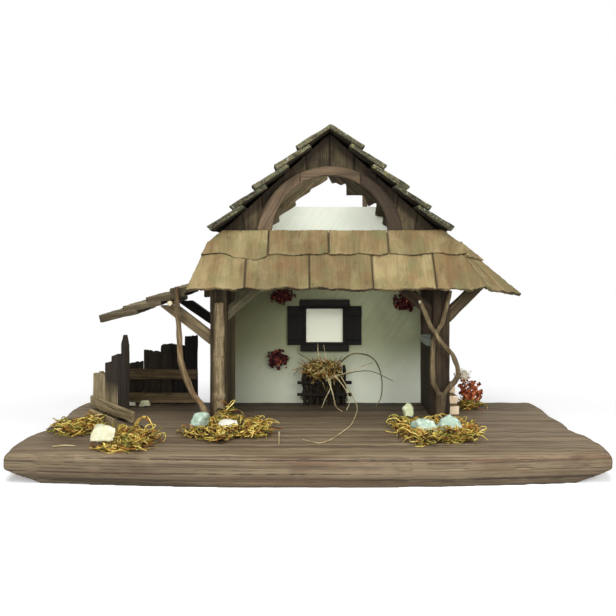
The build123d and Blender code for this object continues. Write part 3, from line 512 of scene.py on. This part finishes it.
# Gable roof
# Two roof boards mitred at the ridge, under five courses of small split shingles on each side.
# The shingles have weathered dark and grown a green film.
timber("gable_roof_boards", ["left_roof_board", "right_roof_board"], wall_stain, "dark_timber",
       "uphill", 2.8, 0.4, 0.4)
mossy_split = wood(
    "split shingles, weathered with lichen", ("#2d2a1d", "#504b38", "#726a50"), (1, 20), (4, 60),
    ("#394832", 22, 0.45), ("#858167", 0.45), "#38342a", 0.88,
    (("#14120c", 3, 9, 0.56, 0.85), ("#7d7e4f", 4, 5, 0.57, 0.8), ("#4f6f55", 6.5, 9, 0.62, 0.7),
     ("#a9ae9e", 2, 2.6, 0.6, 0.85)))


def shingle_shade(vert):
    """Painted shade on the faces of the shingles that turn downwards, thinner in patches."""
    patch = 0.5 + 0.5 * noise.noise(vert.co / (9 * mm))
    return ramp(-vert.normal.z, -0.1, 0.4) * (0.55 + 0.45 * patch)


for side in ("left", "right"):
    for number in range(1, 6):
        node = f"{side}_roof_course_{number}"
        course = carve([node], "uphill", 1.15, 0.7, 0.9, foot_fray=1.8, cup=0.5)
        darken(course, shingle_shade)
        place_piece(f"{side}_shingles_{number}", course, mossy_split, [node])

# Pent roof
# Thin roof boards with two courses of wide split shingles, along the front, round the corner
# facet and down the right side. The tan wood is streaked brown along the grain. One shingle of the
# upper course sags, and the wood at the corner leans in to close up under the gable eave.
timber("pent_boards", ["pent_roof_boards"], brace_stain, "frame_timber", "uphill", 2.8, 0.4, 0.3)
tan_split = wood(
    "split shingles, tan, weathered brown in patches", ("#6a5a3c", "#83734f", "#9b8c64"),
    (1.4, 60), (14, 110), ("#655236", 60, 0.6), ("#b3a47e", 0.3), "#2a2115", 0.85,
    (("#7a5c3c", 24, 36, 0.48, 0.7), ("#6c6b47", 19, 30, 0.48, 0.75), ("#ae9e75", 34, 52, 0.5, 0.65),
     ("#4f4029", 10, 26, 0.6, 0.6), ("#57462c", 1.4, 60, 0.64, 0.6)))
sag = Vector((0, -5, -8)) * mm
sag_height = 16 * mm
eave_foot = Vector((161.5, 0, 264)) * mm
eave_normal = Vector((0.65, 0, 0.76))
eave_push = Vector((7, 0, 1)) * mm
eave_reach = 9 * mm
hip_lean = Vector((-14, 0, 5)) * mm
hip_height = 14 * mm
for node in ("front_pent_lower_shingles", "front_pent_upper_shingles", "hip_shingles", "right_pent_shingles"):
    course = carve([node], "uphill", 1.1, 0.6, 0.5, foot_fray=1.6, cup=0.8, seam=0.7)
    low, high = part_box(node)
    for vert in course.verts:
        if node == "front_pent_upper_shingles":
            across = (vert.co.x - low.x) / mm
            loose = ramp(across, 22, 58) * ramp(across, 82, 64)
            vert.co += sag * loose * ramp(vert.co.z, low.z + sag_height, low.z)
            vert.co += eave_push * ramp((vert.co - eave_foot).dot(eave_normal), -eave_reach, 0)
        elif node == "hip_shingles":
            vert.co += hip_lean * ramp(vert.co.z, high.z - hip_height, high.z)
    place_piece(node.replace("shingles", "split_shingles"), course, tan_split, [node])

# Lean-to
# A ledger on the left posts and a round purlin on two braces carry four lapped courses of thin
# split boards, paler and greyer than the pent roof.
grey_split = wood(
    "split boards, pale grey-brown", ("#4a412f", "#7b6f53", "#a09373"), (0.9, 45), (5, 180),
    ("#3f3626", 40, 0.6), ("#b0a382", 0.45), "#2b2419", 0.85, (("#2a2317", 2, 50, 0.62, 0.85),))
peeled_pole = wood(
    "peeled pole, pale cut ends", ("#3f3424", "#6d5f44", "#8d7d5c"), (0.9, 40), (5, 160),
    ("#352b1d", 35, 0.5), ("#9c8c69", 0.35), "#d8ccab", 0.8)
timber("lean_to_ledger_timber", ["lean_to_ledger"], frame_stain, "frame_timber", "long", 1.2, 0.3, 0.3)
timber("lean_to_purlin_pole", ["lean_to_purlin"], peeled_pole, "frame_timber", "long", 0.9, 0.3, 0.3)
courses = carve(["lean_to_shingles"], "uphill", 1.25, 0.5, 0.5, foot_fray=1.4, cup=0.6, seam=0.55)
darken(courses, lambda vert: 0.7 * ramp(-vert.normal.y, 0.3, 0.75))
lower_edge = 2.2 * mm
for vert in courses.verts:
    vert.co.z -= lower_edge * ramp(-vert.normal.z, 0.2, 0.8)
place_piece("lean_to_split_shingles", courses, grey_split, ["lean_to_shingles"])

# Pen fences
# Split boards with broken tops stand on the base: a row on two rails at the back, and a slanted
# row of pickets with a low rail and a loose plank at the side.
fence_stain_and_shade = wood(
    "split boards, near-black stain and painted shade", ("#0e0b08", "#1c1710", "#2d261b"), (0.9, 35), (4, 120),
    ("#0a0806", 30, 0.5), ("#463c2c", 0.35), "#1a150d", 0.85)
rail_stain = wood(
    "split rails, worn brown", ("#35291a", "#5c4d35", "#7f6d4e"), (0.9, 45), (4, 140),
    ("#261d12", 35, 0.55), ("#93815f", 0.4), "#3a2e1d", 0.82)
worn_split = wood(
    "split pickets, worn tan", ("#54462e", "#887959", "#ad9d7b"), (0.9, 40), (4, 120),
    ("#4a3c24", 30, 0.55), ("#b9aa86", 0.4), "#6f5f41", 0.82, (("#2a2113", 1.8, 60, 0.6, 0.85),))
timber("back_fence_split", ["back_fence_boards"], fence_stain_and_shade, "dark_timber", "up", 1.0, 0.6, 0.6,
       head_fray=2.5)
timber("side_fence_worn_pickets", ["side_fence_pickets"], worn_split, "dark_timber", "up", 1.0, 0.6, 0.6,
       head_fray=2, pick=(0, 1))
# Painted shade on the side pickets: the middle two darken towards their tops, and the last two take the
# near-black stain all over.
dark_low = base_top + 22 * mm
dark_high = base_top + 44 * mm
half_dark = carve(["side_fence_pickets"], "up", 0.8, 0.5, 0.4, head_fray=0.8, pick=(2, 3))
darken(half_dark, lambda vert: 0.2 + 0.77 * ramp(vert.co.z, dark_low, dark_high))
place_piece("side_fence_half_dark_pickets", half_dark, worn_split)
dark = carve(["side_fence_pickets"], "up", 0.85, 0.5, 0.4, head_fray=0.5, pick=(4, 5))
darken(dark, lambda vert: 0.7)
place_piece("side_fence_dark_pickets", dark, fence_stain_and_shade)
for node, stain in (("back_fence_rails", rail_stain), ("side_fence_rails", worn_split)):
    timber(f"{node}_split", [node], stain, "dark_timber", "long", 1.0, 0.5, 0.5, foot_fray=1, head_fray=1)

# Branches
# Three natural sticks set against the front posts: an upright one and a bent leaning one on the
# left, a forked one on the right. Their bark is thin, ridged and worn through in places.
speckled_bark = wood(
    "thin bark, pale tan with dark knots", ("#6b5c43", "#998868", "#c0ad88"), (0.9, 14), (5, 40),
    ("#5a4a33", 18, 0.5), ("#bfab88", 0.3), "#8a7650", 0.8, (("#2e2216", 2.4, 3, 0.61, 0.9),))
peeling_bark = wood(
    "thin bark, grey, peeled to red", ("#4d3f2b", "#7d6a4c", "#a0906f"), (0.9, 14), (5, 40),
    ("#73452a", 60, 0.75), ("#b5a688", 0.35), "#5c4d36", 0.8, (("#2c2318", 3, 14, 0.66, 0.85),))
grey_bark = wood(
    "thin bark, grey-brown", ("#463a28", "#75664a", "#998a66"), (0.9, 14), (5, 40),
    ("#3a2f20", 18, 0.5), ("#a89a74", 0.4), "#d9cfb2", 0.82)
# Painted shade darkens the sides of the upright stick, the top of the leaning one and the foot of the forked
# one.
for node, bark, swell, shade_start, dirt_and_shade in (
        ("left_upright_branch", speckled_bark, 1.3, None, None),
        ("left_leaning_branch", peeling_bark, -0.7, 95, 125),
        ("right_forked_branch", grey_bark, -0.7, 75, 30)):
    stick = carve([node], "long", 0.85, 0.5, 0.9)
    if shade_start is None:
        darken(stick, lambda vert: 0.3 * ramp(abs(vert.normal.x), 0.5, 1))
    else:
        darken(stick, lambda vert: 0.5 * ramp(vert.co.z, base_top + shade_start * mm, base_top + dirt_and_shade * mm))
        cut = stick.verts.layers.float["end"]
        tip = min((vert.co.copy() for vert in stick.verts), key=lambda place: place.x)
        for vert in stick.verts:
            vert[cut] = 0.9 * ramp((vert.co - tip).length, 5 * mm, 3.5 * mm)
    for vert in stick.verts:
        vert.co += vert.normal * swell * mm
    place_piece(f"{node}_stick", stick, bark, [node])

# Hay rack
# Thin dark sticks tied in a grid against the back wall.
timber("hay_rack_sticks", ["hay_rack"], fence_stain_and_shade, "dark_timber", "long", 0.8, 0.3, 0.5)

# Hay
# Dry meadow grass pushed down behind the rack, with a few long stalks that spring out of it, arch
# over to the right and trail down onto the base.
def stalks(name, routes, thick, material, nodes=()):
    """Stalks along routes of points, each a little thicker or thinner than the next and thinning
    towards its tip, as one mesh."""
    chance = random.Random(name)
    curve = bpy.data.curves.new(name, "CURVE")
    curve.dimensions = "3D"
    curve.bevel_depth = thick * mm / 2
    curve.bevel_resolution = 0
    curve.use_fill_caps = True
    curve.resolution_u = 2
    for route in routes:
        spline = curve.splines.new("NURBS")
        spline.points.add(len(route) - 1)
        spline.order_u = 3
        spline.use_endpoint_u = True
        girth = chance.uniform(0.75, 1.25)
        for i, place in enumerate(route):
            spline.points[i].co = (*place, 1)
            spline.points[i].radius = girth * (1 - 0.55 * i / (len(route) - 1))
    holder = new_object(name, curve)
    body = bmesh.new()
    absorb(body, holder)
    bpy.data.curves.remove(curve)
    place_piece(name, body, material, nodes)


def dry_plant(name, levels, colours, patch, rough):
    """Dried plant matter: its colour goes from a dark to a light one, by way of a middle one where
    there is one, in patches a few millimetres across."""
    material = new_material(name)
    place = add(material, "TexCoord").outputs["Object"]
    mottle = add(material, "TexNoise", {
        "Vector": place, "Scale": 1 / (patch * mm), "Detail": 3, "Roughness": 0.6})
    stops = zip((*levels, 0.5), colours)
    colour = add(material, "ValToRGB", {"Fac": mottle}, stops=stops)
    shader = add(material, "BsdfPrincipled", {
        "Base Color": colour, "Roughness": rough, "IOR": 1.45, "Specular IOR Level": 0.25})
    add(material, "OutputMaterial", {"Surface": shader})
    return material


dry_hay = dry_plant("dry meadow hay", (0.38, 0.64), ("#261f0e", "#cdb872", "#77663a"), 5, 0.8)
# Hay in painted shade, for the grass behind the rack.
shaded_hay = dry_plant("hay behind the rack, painted in shade", (0.36, 0.68), ("#19140b", "#57492b", "#332a18"), 7, 0.9)
pale_straw = dry_plant("pale dry straw", (0.34, 0.66), ("#8f8058", "#ded2a8", "#c2b284"), 14, 0.7)
green_straw = dry_plant("grey-green dry stalk", (0.34, 0.66), ("#3d3a25", "#837b55", "#5c573a"), 14, 0.7)
amber_hay = dry_plant("dry hay, amber", (0.38, 0.64), ("#33200d", "#c98f47", "#82571f"), 5, 0.8)
yellow_hay = dry_plant("dry hay, yellow", (0.38, 0.64), ("#6b5e2c", "#eddfa0", "#c4b26a"), 5, 0.8)
chance = random.Random("hay")
hay_low, hay_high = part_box("hay")
hay_size = hay_high - hay_low
hay_back = hay_high.y - 2 * mm
tufts = []
for _ in range(350):
    angle = chance.uniform(0, 2 * math.pi)
    spread = math.sqrt(chance.random())
    x = hay_low.x + hay_size.x * (0.47 + 0.37 * spread * math.cos(angle))
    z = hay_low.z + hay_size.z * (0.66 + 0.24 * spread * math.sin(angle))
    y = chance.uniform(hay_low.y + 0.1 * hay_size.y, hay_back)
    lean = chance.uniform(-1, 1)
    length = chance.uniform(9, 23) * mm
    forward = chance.uniform(-0.3, 0.7)
    droop = chance.uniform(-0.9, 0.3)
    route = [Vector((x, y, z))]
    for step in range(4):
        share = (step + 1) / 4
        route.append(Vector((
            x + lean * length * share + chance.uniform(-2, 2) * mm,
            min(y - forward * length * share, hay_back),
            z + length * (0.3 * share + droop * share * share) + chance.uniform(-2, 2) * mm)))
    tufts.append(route)
stalks("hay_tuft", tufts[:140], 1.5, dry_hay, ["hay"])
stalks("amber_tuft", tufts[140:240], 1.6, amber_hay)
stalks("yellow_tuft", tufts[240:], 1.5, yellow_hay)
rack_low, rack_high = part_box("hay_rack")
# Hay pushed down behind the rack, drawn in dark colours as painted shade.
pressed = []
for _ in range(260):
    x = chance.uniform(hay_low.x, hay_high.x)
    y = chance.uniform(rack_high.y - 2 * mm, hay_back)
    top = chance.uniform(rack_low.z + 12 * mm, hay_low.z + 0.75 * hay_size.z)
    length = chance.uniform(12, 30) * mm
    pressed.append([Vector((x + chance.uniform(-1.5, 1.5) * mm * step, y,
                            max(top - length * step / 4, base_top + mm))) for step in range(5)])
stalks("pressed_hay", pressed, 2.2, shaded_hay)
arching_stalks = (
    ((30, 122, 74), (37, 120, 85), (48, 118, 96), (58, 116, 104), (70, 114, 104), (81, 112, 102),
     (89, 110, 96), (93, 108, 89), (96, 106, 81), (98, 105, 69), (98, 104, 57), (96, 103, 45),
     (90, 102, 37), (89, 100, 34.5)),
    ((30, 122, 68), (36, 116, 71), (57, 110, 80), (82, 108, 83), (96, 106, 77), (112, 104, 69)),
    ((22, 124, 80), (2, 122, 96), (-14, 121, 104)),
    ((34, 124, 80), (40, 122, 92), (46, 121, 100)),
)
trailing_stalks = (
    ((44, 118, 73), (51, 113, 61), (58, 108, 50), (63, 100, 41), (65, 85, 35.5), (58, 36, 34.5),
     (51, -10, 34.5), (38, -47, 34.5), (26, -81, 34.5), (13, -100, 34.5), (4, -91, 34.5),
     (-6, -81, 34.5)),
    ((24, 122, 66), (29, 116, 71), (50, 112, 78), (72, 110, 88), (86, 108, 93)),
    ((20, 124, 80), (14, 122, 97), (13, 121, 112), (13, 120, 117)),
    ((26, 124, 80), (24, 122, 100), (21, 121, 115)),
    ((20, 118, 82), (30, 109, 70), (31, 106, 60), (22, 103, 45), (18, 100, 34.5)),
    ((22, 117, 80), (30, 106, 62), (34, 98, 48), (36, 90, 34.5), (44, 76, 34.5)),
    ((34, 118, 76), (44, 111, 66), (52, 105, 54), (56, 96, 40), (50, 84, 34.5)),
    ((-33, -42, 34), (-32, -72, 34.5), (-31, -104, 34)),
    ((-270, -112, 34), (-258, -106, 35), (-247, -108, 34)),
)
for name, table, straw in (("arching_stalks", arching_stalks, green_straw),
                           ("trailing_stalks", trailing_stalks, pale_straw)):
    stalks(name, [[Vector(point) * mm for point in route] for route in table], 1.9, straw)

# Stones
# Small broken chips of pale stone, washed with thin paint from white to turquoise, lying on the moss
# and loose on the base.
def corners(solid):
    """The lowest and the highest corner of the box round a solid."""
    return [Vector([edge(vert.co[i] for vert in solid.verts) for i in range(3)]) for edge in (min, max)]


def lumps(place, broad, fine):
    """The height of lumps of two sizes at a place, in millimetres."""
    return 2.2 * noise.noise(place / (broad * mm)) + 0.9 * noise.noise(place / (fine * mm))


def roughen(body, height):
    """Raises a body's faces by a height in millimetres for each vertex, and keeps it on the base."""
    body.normal_update()
    for vert in body.verts:
        vert.co += vert.normal * height(vert) * mm
        vert.co.z = max(vert.co.z, base_top)


stone_wash = new_material("broken stone, thin colour wash")
place = add(stone_wash, "TexCoord").outputs["Object"]
paint = add(stone_wash, "Attribute", attribute_name="paint").outputs["Color"]
grit = add(stone_wash, "TexNoise", {
    "Vector": place, "Scale": 1 / (5 * mm), "Detail": 6, "Roughness": 0.7})
bare = add(stone_wash, "MapRange", {"Value": grit, "From Min": 0.5, "From Max": 0.68, "To Max": 0.75})
colour = mix(stone_wash, bare, paint, linear("#eeeee4"))
pits = add(stone_wash, "Bump", {"Height": grit, "Strength": 0.6, "Distance": 0.8 * mm})
shader = add(stone_wash, "BsdfPrincipled", {
    "Base Color": colour, "Roughness": 0.75, "IOR": 1.5, "Normal": pits})
add(stone_wash, "OutputMaterial", {"Surface": shader})
stone_forms = (
    ("#cdcba8", (1.2, 1.1, 0.95), (-5, -8, 0), 0.1, 0.25),
    ("#9cb3a0", (1.2, 1.15, 1.15), (0, -3, -3), 0.3, 0.75),
    ("#dcdccd", (1.1, 1.1, 0.9), (0, -7, -5), 0.3, 0.55),
    ("#aac0ad", (1.25, 1.1, 1.1), (1, -6, -5), 0.3, 0.7),
    ("#a4bba9", (1.2, 1.1, 1.15), (0, -6, -5), 0.5, 0.7),
    ("#cfd1a8", (1.1, 1, 1), (0, 0, 0), 0.3, 0.5),
    ("#d2ccae", (1.1, 1, 1), (0, 0, 0), 0.3, 0.5),
    ("#c3caa0", (1.1, 1.1, 1), (3, 0, 0), 0.3, 0.55))
chance = random.Random("stones")
stone_boxes = []
chips = bmesh.new()
paint_layer = chips.verts.layers.float_color.new("paint")
rough_layer = chips.verts.layers.float.new("rough")
for solid, (code, size, shift, peak, round_off) in zip(solids("stones"), stone_forms):
    low, high = corners(solid)
    solid.free()
    half = (high - low) / 2
    centre = low + half + Vector(shift) * mm
    stone_boxes.append((centre - half, centre + half))
    chip = bmesh.new()
    for _ in range(16):
        way = Vector([chance.gauss(0, 1) for _ in range(3)]).normalized()
        reach = Vector([math.copysign(abs(part) ** round_off, part) * chance.uniform(0.85, 1.08)
                        for part in way])
        for i in range(2):
            reach[i] *= 1 - peak * max(reach.z, 0)
        bmesh.ops.create_vert(chip, co=centre + Vector([half[i] * size[i] * reach[i] for i in range(3)]))
    hull = bmesh.ops.convex_hull(chip, input=chip.verts)
    inner = [part for part in hull["geom_interior"] if isinstance(part, bmesh.types.BMVert)]
    bmesh.ops.delete(chip, geom=inner, context="VERTS")
    start = len(chips.verts)
    mesh_evenly(chips, chip, 1.1 * mm)
    chips.verts.ensure_lookup_table()
    for vert in chips.verts[start:]:
        vert[paint_layer] = linear(code)
        vert[rough_layer] = min(0.1 + 1.3 * round_off, 1)
bmesh.ops.smooth_vert(chips, verts=chips.verts, factor=0.5, use_axis_x=True, use_axis_y=True, use_axis_z=True)
roughen(chips, lambda vert: lumps(vert.co, 7, 2.6) * vert[rough_layer])
place_piece("stone_chips", chips, stone_wash, ["stones"])

# Moss
# Four cushions of dried curly moss glued to the base, ochre and rust with some green left. Curled
# strands stand off a dense mat, climb the left post a little and lie round the rust-red flowers.
moss_kinds = (
    ("yellow", ("#94803a", "#fae694", "#d8bf5e"), 0.24),
    ("ochre", ("#6b5420", "#d9b95c", "#a88a3a"), 0.28),
    ("olive", ("#4a4520", "#b0a955", "#7f7838"), 0.22),
    ("rust", ("#4c2d14", "#c2823c", "#8f5a28"), 0.16),
    ("brown", ("#1e160a", "#5c4420", "#3a2a13"), 0.1),
)
# The mat's browns are moss colour darkened as painted shade, as deep inside the cushions.
moss_mat = dry_plant("dense moss mat", (0.34, 0.66), ("#2a2110", "#7d642a", "#523f1c"), 4, 0.9)
chance = random.Random("moss")
gap = 4 * mm


def curly(start, reach, top, steps=7):
    """A strand that wanders off, curling as it goes, between the base and a top height. It stays
    low beside a stone, and further out in front of it."""
    heading = chance.uniform(0, 2 * math.pi)
    turn = chance.choice((-1, 1)) * chance.uniform(0.35, 1.1)
    climb = chance.uniform(-0.2, 0.9)
    route = [start]
    for number in range(steps):
        heading += turn + chance.uniform(-0.4, 0.4)
        step = reach / steps
        last = route[-1]
        z = last.z + (climb * math.cos(3.5 * number / steps) + chance.uniform(-0.4, 0.4)) * step
        x, y = last.x + math.cos(heading) * step, last.y + math.sin(heading) * step
        for low, high in stone_boxes:
            if low.x - gap < x < high.x + gap and low.y - 3 * gap < y < high.y + gap:
                z = min(z, base_top + 5 * mm)
        route.append(Vector((x, y, min(max(z, base_top + 0.8 * mm), base_top + top))))
    return route


def clump(middle, half, count, top):
    """Curled strands in a loose clump with a ragged outline."""
    clumped = []
    tuft = middle
    for number in range(count):
        if number % 9 == 0:
            angle = chance.uniform(0, 2 * math.pi)
            rim = Vector((math.cos(angle), math.sin(angle), middle.x * 40))
            spread = math.sqrt(chance.random()) * (0.75 + 0.5 * noise.noise(rim * 1.5))
            tuft = Vector((middle.x + half.x * spread * math.cos(angle),
                           middle.y + half.y * spread * math.sin(angle),
                           base_top + chance.uniform(1, 0.55 * top / mm) * mm))
        start = tuft + Vector([chance.uniform(-3.5, 3.5) * mm for _ in range(3)])
        clumped.append(curly(start, chance.uniform(14, 32) * mm, top))
    return clumped


mats = bmesh.new()
strands = []
for solid, count in zip(solids("moss_pads"), (460, 300, 820, 820)):
    low, high = corners(solid)
    middle = (low + high) / 2
    bmesh.ops.scale(solid, vec=(0.7, 0.7, 0.6), verts=solid.verts,
                    space=Matrix.Translation((-middle.x, -middle.y, -base_top)))
    mesh_evenly(mats, solid, 1.3 * mm)
    strands += clump(middle - Vector((0, 9 * mm, 0)), (high - low) * 0.66, count, 17 * mm)
post_low, post_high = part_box("front_left_post")
strands += clump(Vector((post_high.x, post_low.y - 6 * mm, base_top)), Vector((9, 5, 0)) * mm, 90, 26 * mm)
roughen(mats, lambda vert: lumps(vert.co, 4, 1.8))
place_piece("moss_mats", mats, moss_mat, ["moss_pads"])
bunch_low, bunch_high = next((low, high) for low, high in map(corners, solids("dried_flower_bunches"))
                             if low.z < base_top + mm)
bunch_foot = Vector(((bunch_low.x + bunch_high.x) / 2 - 5 * mm, (bunch_low.y + bunch_high.y) / 2, base_top))
strands += clump(bunch_foot, Vector((20, 12, 0)) * mm, 110, 14 * mm)
tall_curl = ((-199, -44, 33), (-196, -44, 46), (-187, -44, 53), (-179, -44, 46), (-175, -44, 33))
for _ in range(9):
    strands.append([Vector((x + chance.uniform(-2, 2), y + chance.uniform(-4, 4),
                            z + chance.uniform(-1.5, 1.5))) * mm for x, y, z in tall_curl])
chance.shuffle(strands)
first = 0
for name, colours, share in moss_kinds:
    moss = dry_plant(f"dried moss, {name}", (0.36, 0.66), colours, 6, 0.85)
    last = first + round(share * len(strands))
    stalks(f"moss_{name}_strands", strands[first:last], 1.7, moss)
    first = last

# Dried flowers
# Three tight heads of dark red dried flowers glued to the wall, and a taller rust-red bunch with some
# off-white, standing behind the right post. Each head is a cluster of small crumpled florets.
dark_bloom = dry_plant("dried florets, dark red", (0.36, 0.66), ("#1f0a12", "#642a22", "#3f171a"), 4, 0.85)
rust_bloom = dry_plant("dried florets, rust red", (0.36, 0.66), ("#4a1d12", "#d98a5c", "#a05234"), 5, 0.85)
pale_bloom = dry_plant("dried florets, off-white", (0.36, 0.66), ("#d6ccb2", "#f4eedc"), 5, 0.85)
chance = random.Random("flowers")
heads = {"dark": bmesh.new(), "rust": bmesh.new(), "pale": bmesh.new()}


def florets(body, middle, half, count, size):
    """Crumpled florets packed in a ragged cluster."""
    for _ in range(count):
        way = Vector([chance.gauss(0, 1) for _ in range(3)]).normalized()
        spread = chance.random() ** 0.45 * (1 + 0.35 * noise.noise(way * 1.7 + middle * 30))
        place = middle + Vector([way[i] * half[i] * spread for i in range(3)])
        radius = size * chance.uniform(0.75, 1.25) * mm
        outwards = way.to_track_quat("Z", "Y").to_matrix().to_4x4()
        turn = Matrix.Rotation(chance.uniform(0, 6), 4, way) @ outwards
        shape = Matrix.Translation(place) @ turn @ Matrix.Diagonal((1, 0.8, 0.45, 1))
        made = bmesh.ops.create_icosphere(body, subdivisions=1, radius=radius, matrix=shape)
        for vert in made["verts"]:
            off = vert.co - place
            vert.co = place + off * (1 + 0.8 * noise.noise(vert.co / (1.6 * mm)))


for solid in solids("dried_flower_bunches"):
    low, high = corners(solid)
    solid.free()
    middle = (low + high) / 2
    half = (high - low) / 2
    if low.z < base_top + mm:
        florets(heads["rust"], middle + Vector((0, 0, 2 * mm)), half * 1.05, 260, 2.6)
        florets(heads["pale"], middle + Vector((-10, 5, 25)) * mm, Vector((10, 7, 9)) * mm, 110, 2.2)
    else:
        florets(heads["dark"], middle, half * 1.2, 130, 2.6)
        florets(heads["rust"], middle + Vector((0, -half.y / 2, 0)), half * 1.05, 9, 2)
for name, bloom in (("dark", dark_bloom), ("rust", rust_bloom), ("pale", pale_bloom)):
    nodes = ["dried_flower_bunches"] if name == "dark" else ()
    place_piece(f"{name}_florets", heads[name], bloom, nodes)

# Firewood
# Three short logs split with flat faces, stacked beside the right post with their pale ends to the
# front. The bark side is grey-brown.
log_low, log_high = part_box("firewood_logs")
log_size = log_high - log_low
log_height = log_size.z / 3
logs = bmesh.new()
for number, (setback, width, shift, turn) in enumerate(((0, 1, 0, 0), (14, 0.95, 0, 3), (30, 0.85, 2.5, -4))):
    size = Vector((log_size.x * width, log_size.y - setback * mm, log_height - 0.4 * mm))
    centre = Vector(((log_low.x + log_high.x) / 2 + shift * mm, log_high.y - size.y / 2,
                     log_low.z + (number + 0.5) * log_height))
    turned = Matrix.Translation(centre) @ Matrix.Rotation(math.radians(turn), 4, "Z")
    log = bmesh.new()
    bmesh.ops.create_cube(log, size=1, matrix=turned @ Matrix.Diagonal((*size, 1)))
    mesh_evenly(logs, log, 0.9 * mm)


def log_ridges(vert):
    """Ridges along a log and low swellings, in millimetres."""
    ridge = Vector((vert.co.x / (2.5 * mm), vert.co.y / (30 * mm), vert.co.z / (2.5 * mm)))
    return 0.5 * noise.noise(ridge) + 0.5 * noise.noise(vert.co / (12 * mm))


roughen(logs, log_ridges)
split_log = new_material("split log, pale cut ends")
place = add(split_log, "TexCoord").outputs["Object"]
fibres = streaks(split_log, place, (1.5, 25, 1.5))
# The front-facing cut ends are pale wood, drawn paler still as painted light.
bark_side, cut_end = (add(split_log, "ValToRGB", {"Fac": fibres}, stops=stops)
                      for stops in (((0.35, "#54462e"), (0.65, "#a08e68")),
                                    ((0.35, "#f0d2ac"), (0.65, "#fce8cb"))))
ends = add(split_log, "MapRange", {"Value": facing(split_log), "From Min": -0.6, "From Max": -0.8})
shader = add(split_log, "BsdfPrincipled", {
    "Base Color": mix(split_log, ends, bark_side, cut_end), "Roughness": 0.8, "IOR": 1.45,
    "Specular IOR Level": 0.3})
add(split_log, "OutputMaterial", {"Surface": shader})
place_piece("split_logs", logs, split_log, ["firewood_logs"])

# Studio
# A white floor that keeps the stable's shadow and fades out to plain white, a white surround, two
# large soft lamps from the left, high and low, two weaker ones from the right, far and near, and a
# small one behind the gable boards that lightens the loft wall.
def seen_rays(material):
    """1 on the rays that show a surface, straight to the camera, mirrored or through glass."""
    path = add(material, "LightPath").outputs
    seen = path["Is Camera Ray"]
    for ray in ("Is Glossy Ray", "Is Transmission Ray"):
        seen = add(material, "Math", {0: seen, 1: path[ray]}, operation="MAXIMUM")
    return seen


floor_body = bmesh.new()
bmesh.ops.create_grid(floor_body, x_segments=1, y_segments=1, size=4)
floor_mesh = bpy.data.meshes.new("studio_floor")
floor_body.to_mesh(floor_mesh)
floor_body.free()
floor = new_object("studio_floor", floor_mesh)
shadow_edge = 0.36
white_edge = 0.62
lift_strength = 0.3
floor_paint = new_material("white studio floor")
place = add(floor_paint, "TexCoord").outputs["Object"]
distance = add(floor_paint, "VectorMath", {0: place}, operation="LENGTH").outputs["Value"]
fade = add(floor_paint, "MapRange", {
    "Value": distance, "From Min": shadow_edge, "From Max": white_edge}, interpolation_type="SMOOTHSTEP")
seen = seen_rays(floor_paint)
shown, lifted = (add(floor_paint, "Math", {0: seen, 1: share}, operation="MULTIPLY")
                 for share in (fade, lift_strength))
matt = add(floor_paint, "BsdfDiffuse", {"Color": linear("#fafafa")})
lift, glow = (add(floor_paint, "Emission", {"Color": linear("#ffffff"), "Strength": strength})
              for strength in (lifted, 1))
bright = add(floor_paint, "AddShader", {0: matt, 1: lift})
blend = add(floor_paint, "MixShader", {0: shown, 1: bright, 2: glow})
add(floor_paint, "OutputMaterial", {"Surface": blend})
floor_mesh.materials.append(floor_paint)

ambient_strength = 0.1
world = bpy.data.worlds.new("studio surround")
bpy.context.scene.world = world
world.use_nodes = True
world.node_tree.nodes.clear()
level = add(world, "MapRange", {"Value": seen_rays(world), "To Min": ambient_strength, "To Max": 1})
backdrop = add(world, "Background", {"Color": linear("#ffffff"), "Strength": level})
add(world, "OutputWorld", {"Surface": backdrop})

stable_middle = (0, 0, 0.15)
right_corner = (0.17, 0.06, 0.06)
loft_place = (0.027, 0.058, 0.336)
loft_wall = (loft_place[0], room_low.y, room_high.z - 16 * mm)
for name, position, target, width, height, watts in (
        ("top_lamp", (-0.2, -1.0, 1.75), stable_middle, 0.9, 0.9, 25),
        ("front_lamp", (-0.5, -1.75, 0.75), stable_middle, 1.0, 1.0, 17),
        ("side_lamp", (1.2, -1.4, 0.6), stable_middle, 0.8, 0.8, 5.5),
        ("right_lamp", (0.5, -0.75, 0.4), right_corner, 0.3, 0.3, 3.2),
        ("loft_lamp", loft_place, loft_wall, 0.06, 0.02, 0.065)):
    lamp = bpy.data.lights.new(name, "AREA")
    lamp.shape = "RECTANGLE"
    lamp.size = width
    lamp.size_y = height
    lamp.energy = watts
    holder = new_object(name, lamp)
    holder.location = position
    holder.rotation_euler = (Vector(target) - holder.location).to_track_quat("-Z", "Y").to_euler()
    holder.visible_camera = False

# Camera
# Level, at eye height of the loft, looking straight back; the shift frames the base low.
camera_distance = 0.979
camera_height = 0.242
picture_px = 616
focal_px = 820
shift_px = 58
lens = bpy.data.cameras.new("front_camera")
lens.sensor_width = 36
lens.lens = lens.sensor_width * (focal_px / picture_px)
lens.shift_y = -shift_px / picture_px
camera = new_object("front_camera", lens)
camera.location = (0, -camera_distance, camera_height)
camera.rotation_euler = (math.pi / 2, 0, 0)
bpy.context.scene.camera = camera
bpy.context.scene.view_settings.view_transform = "Standard"
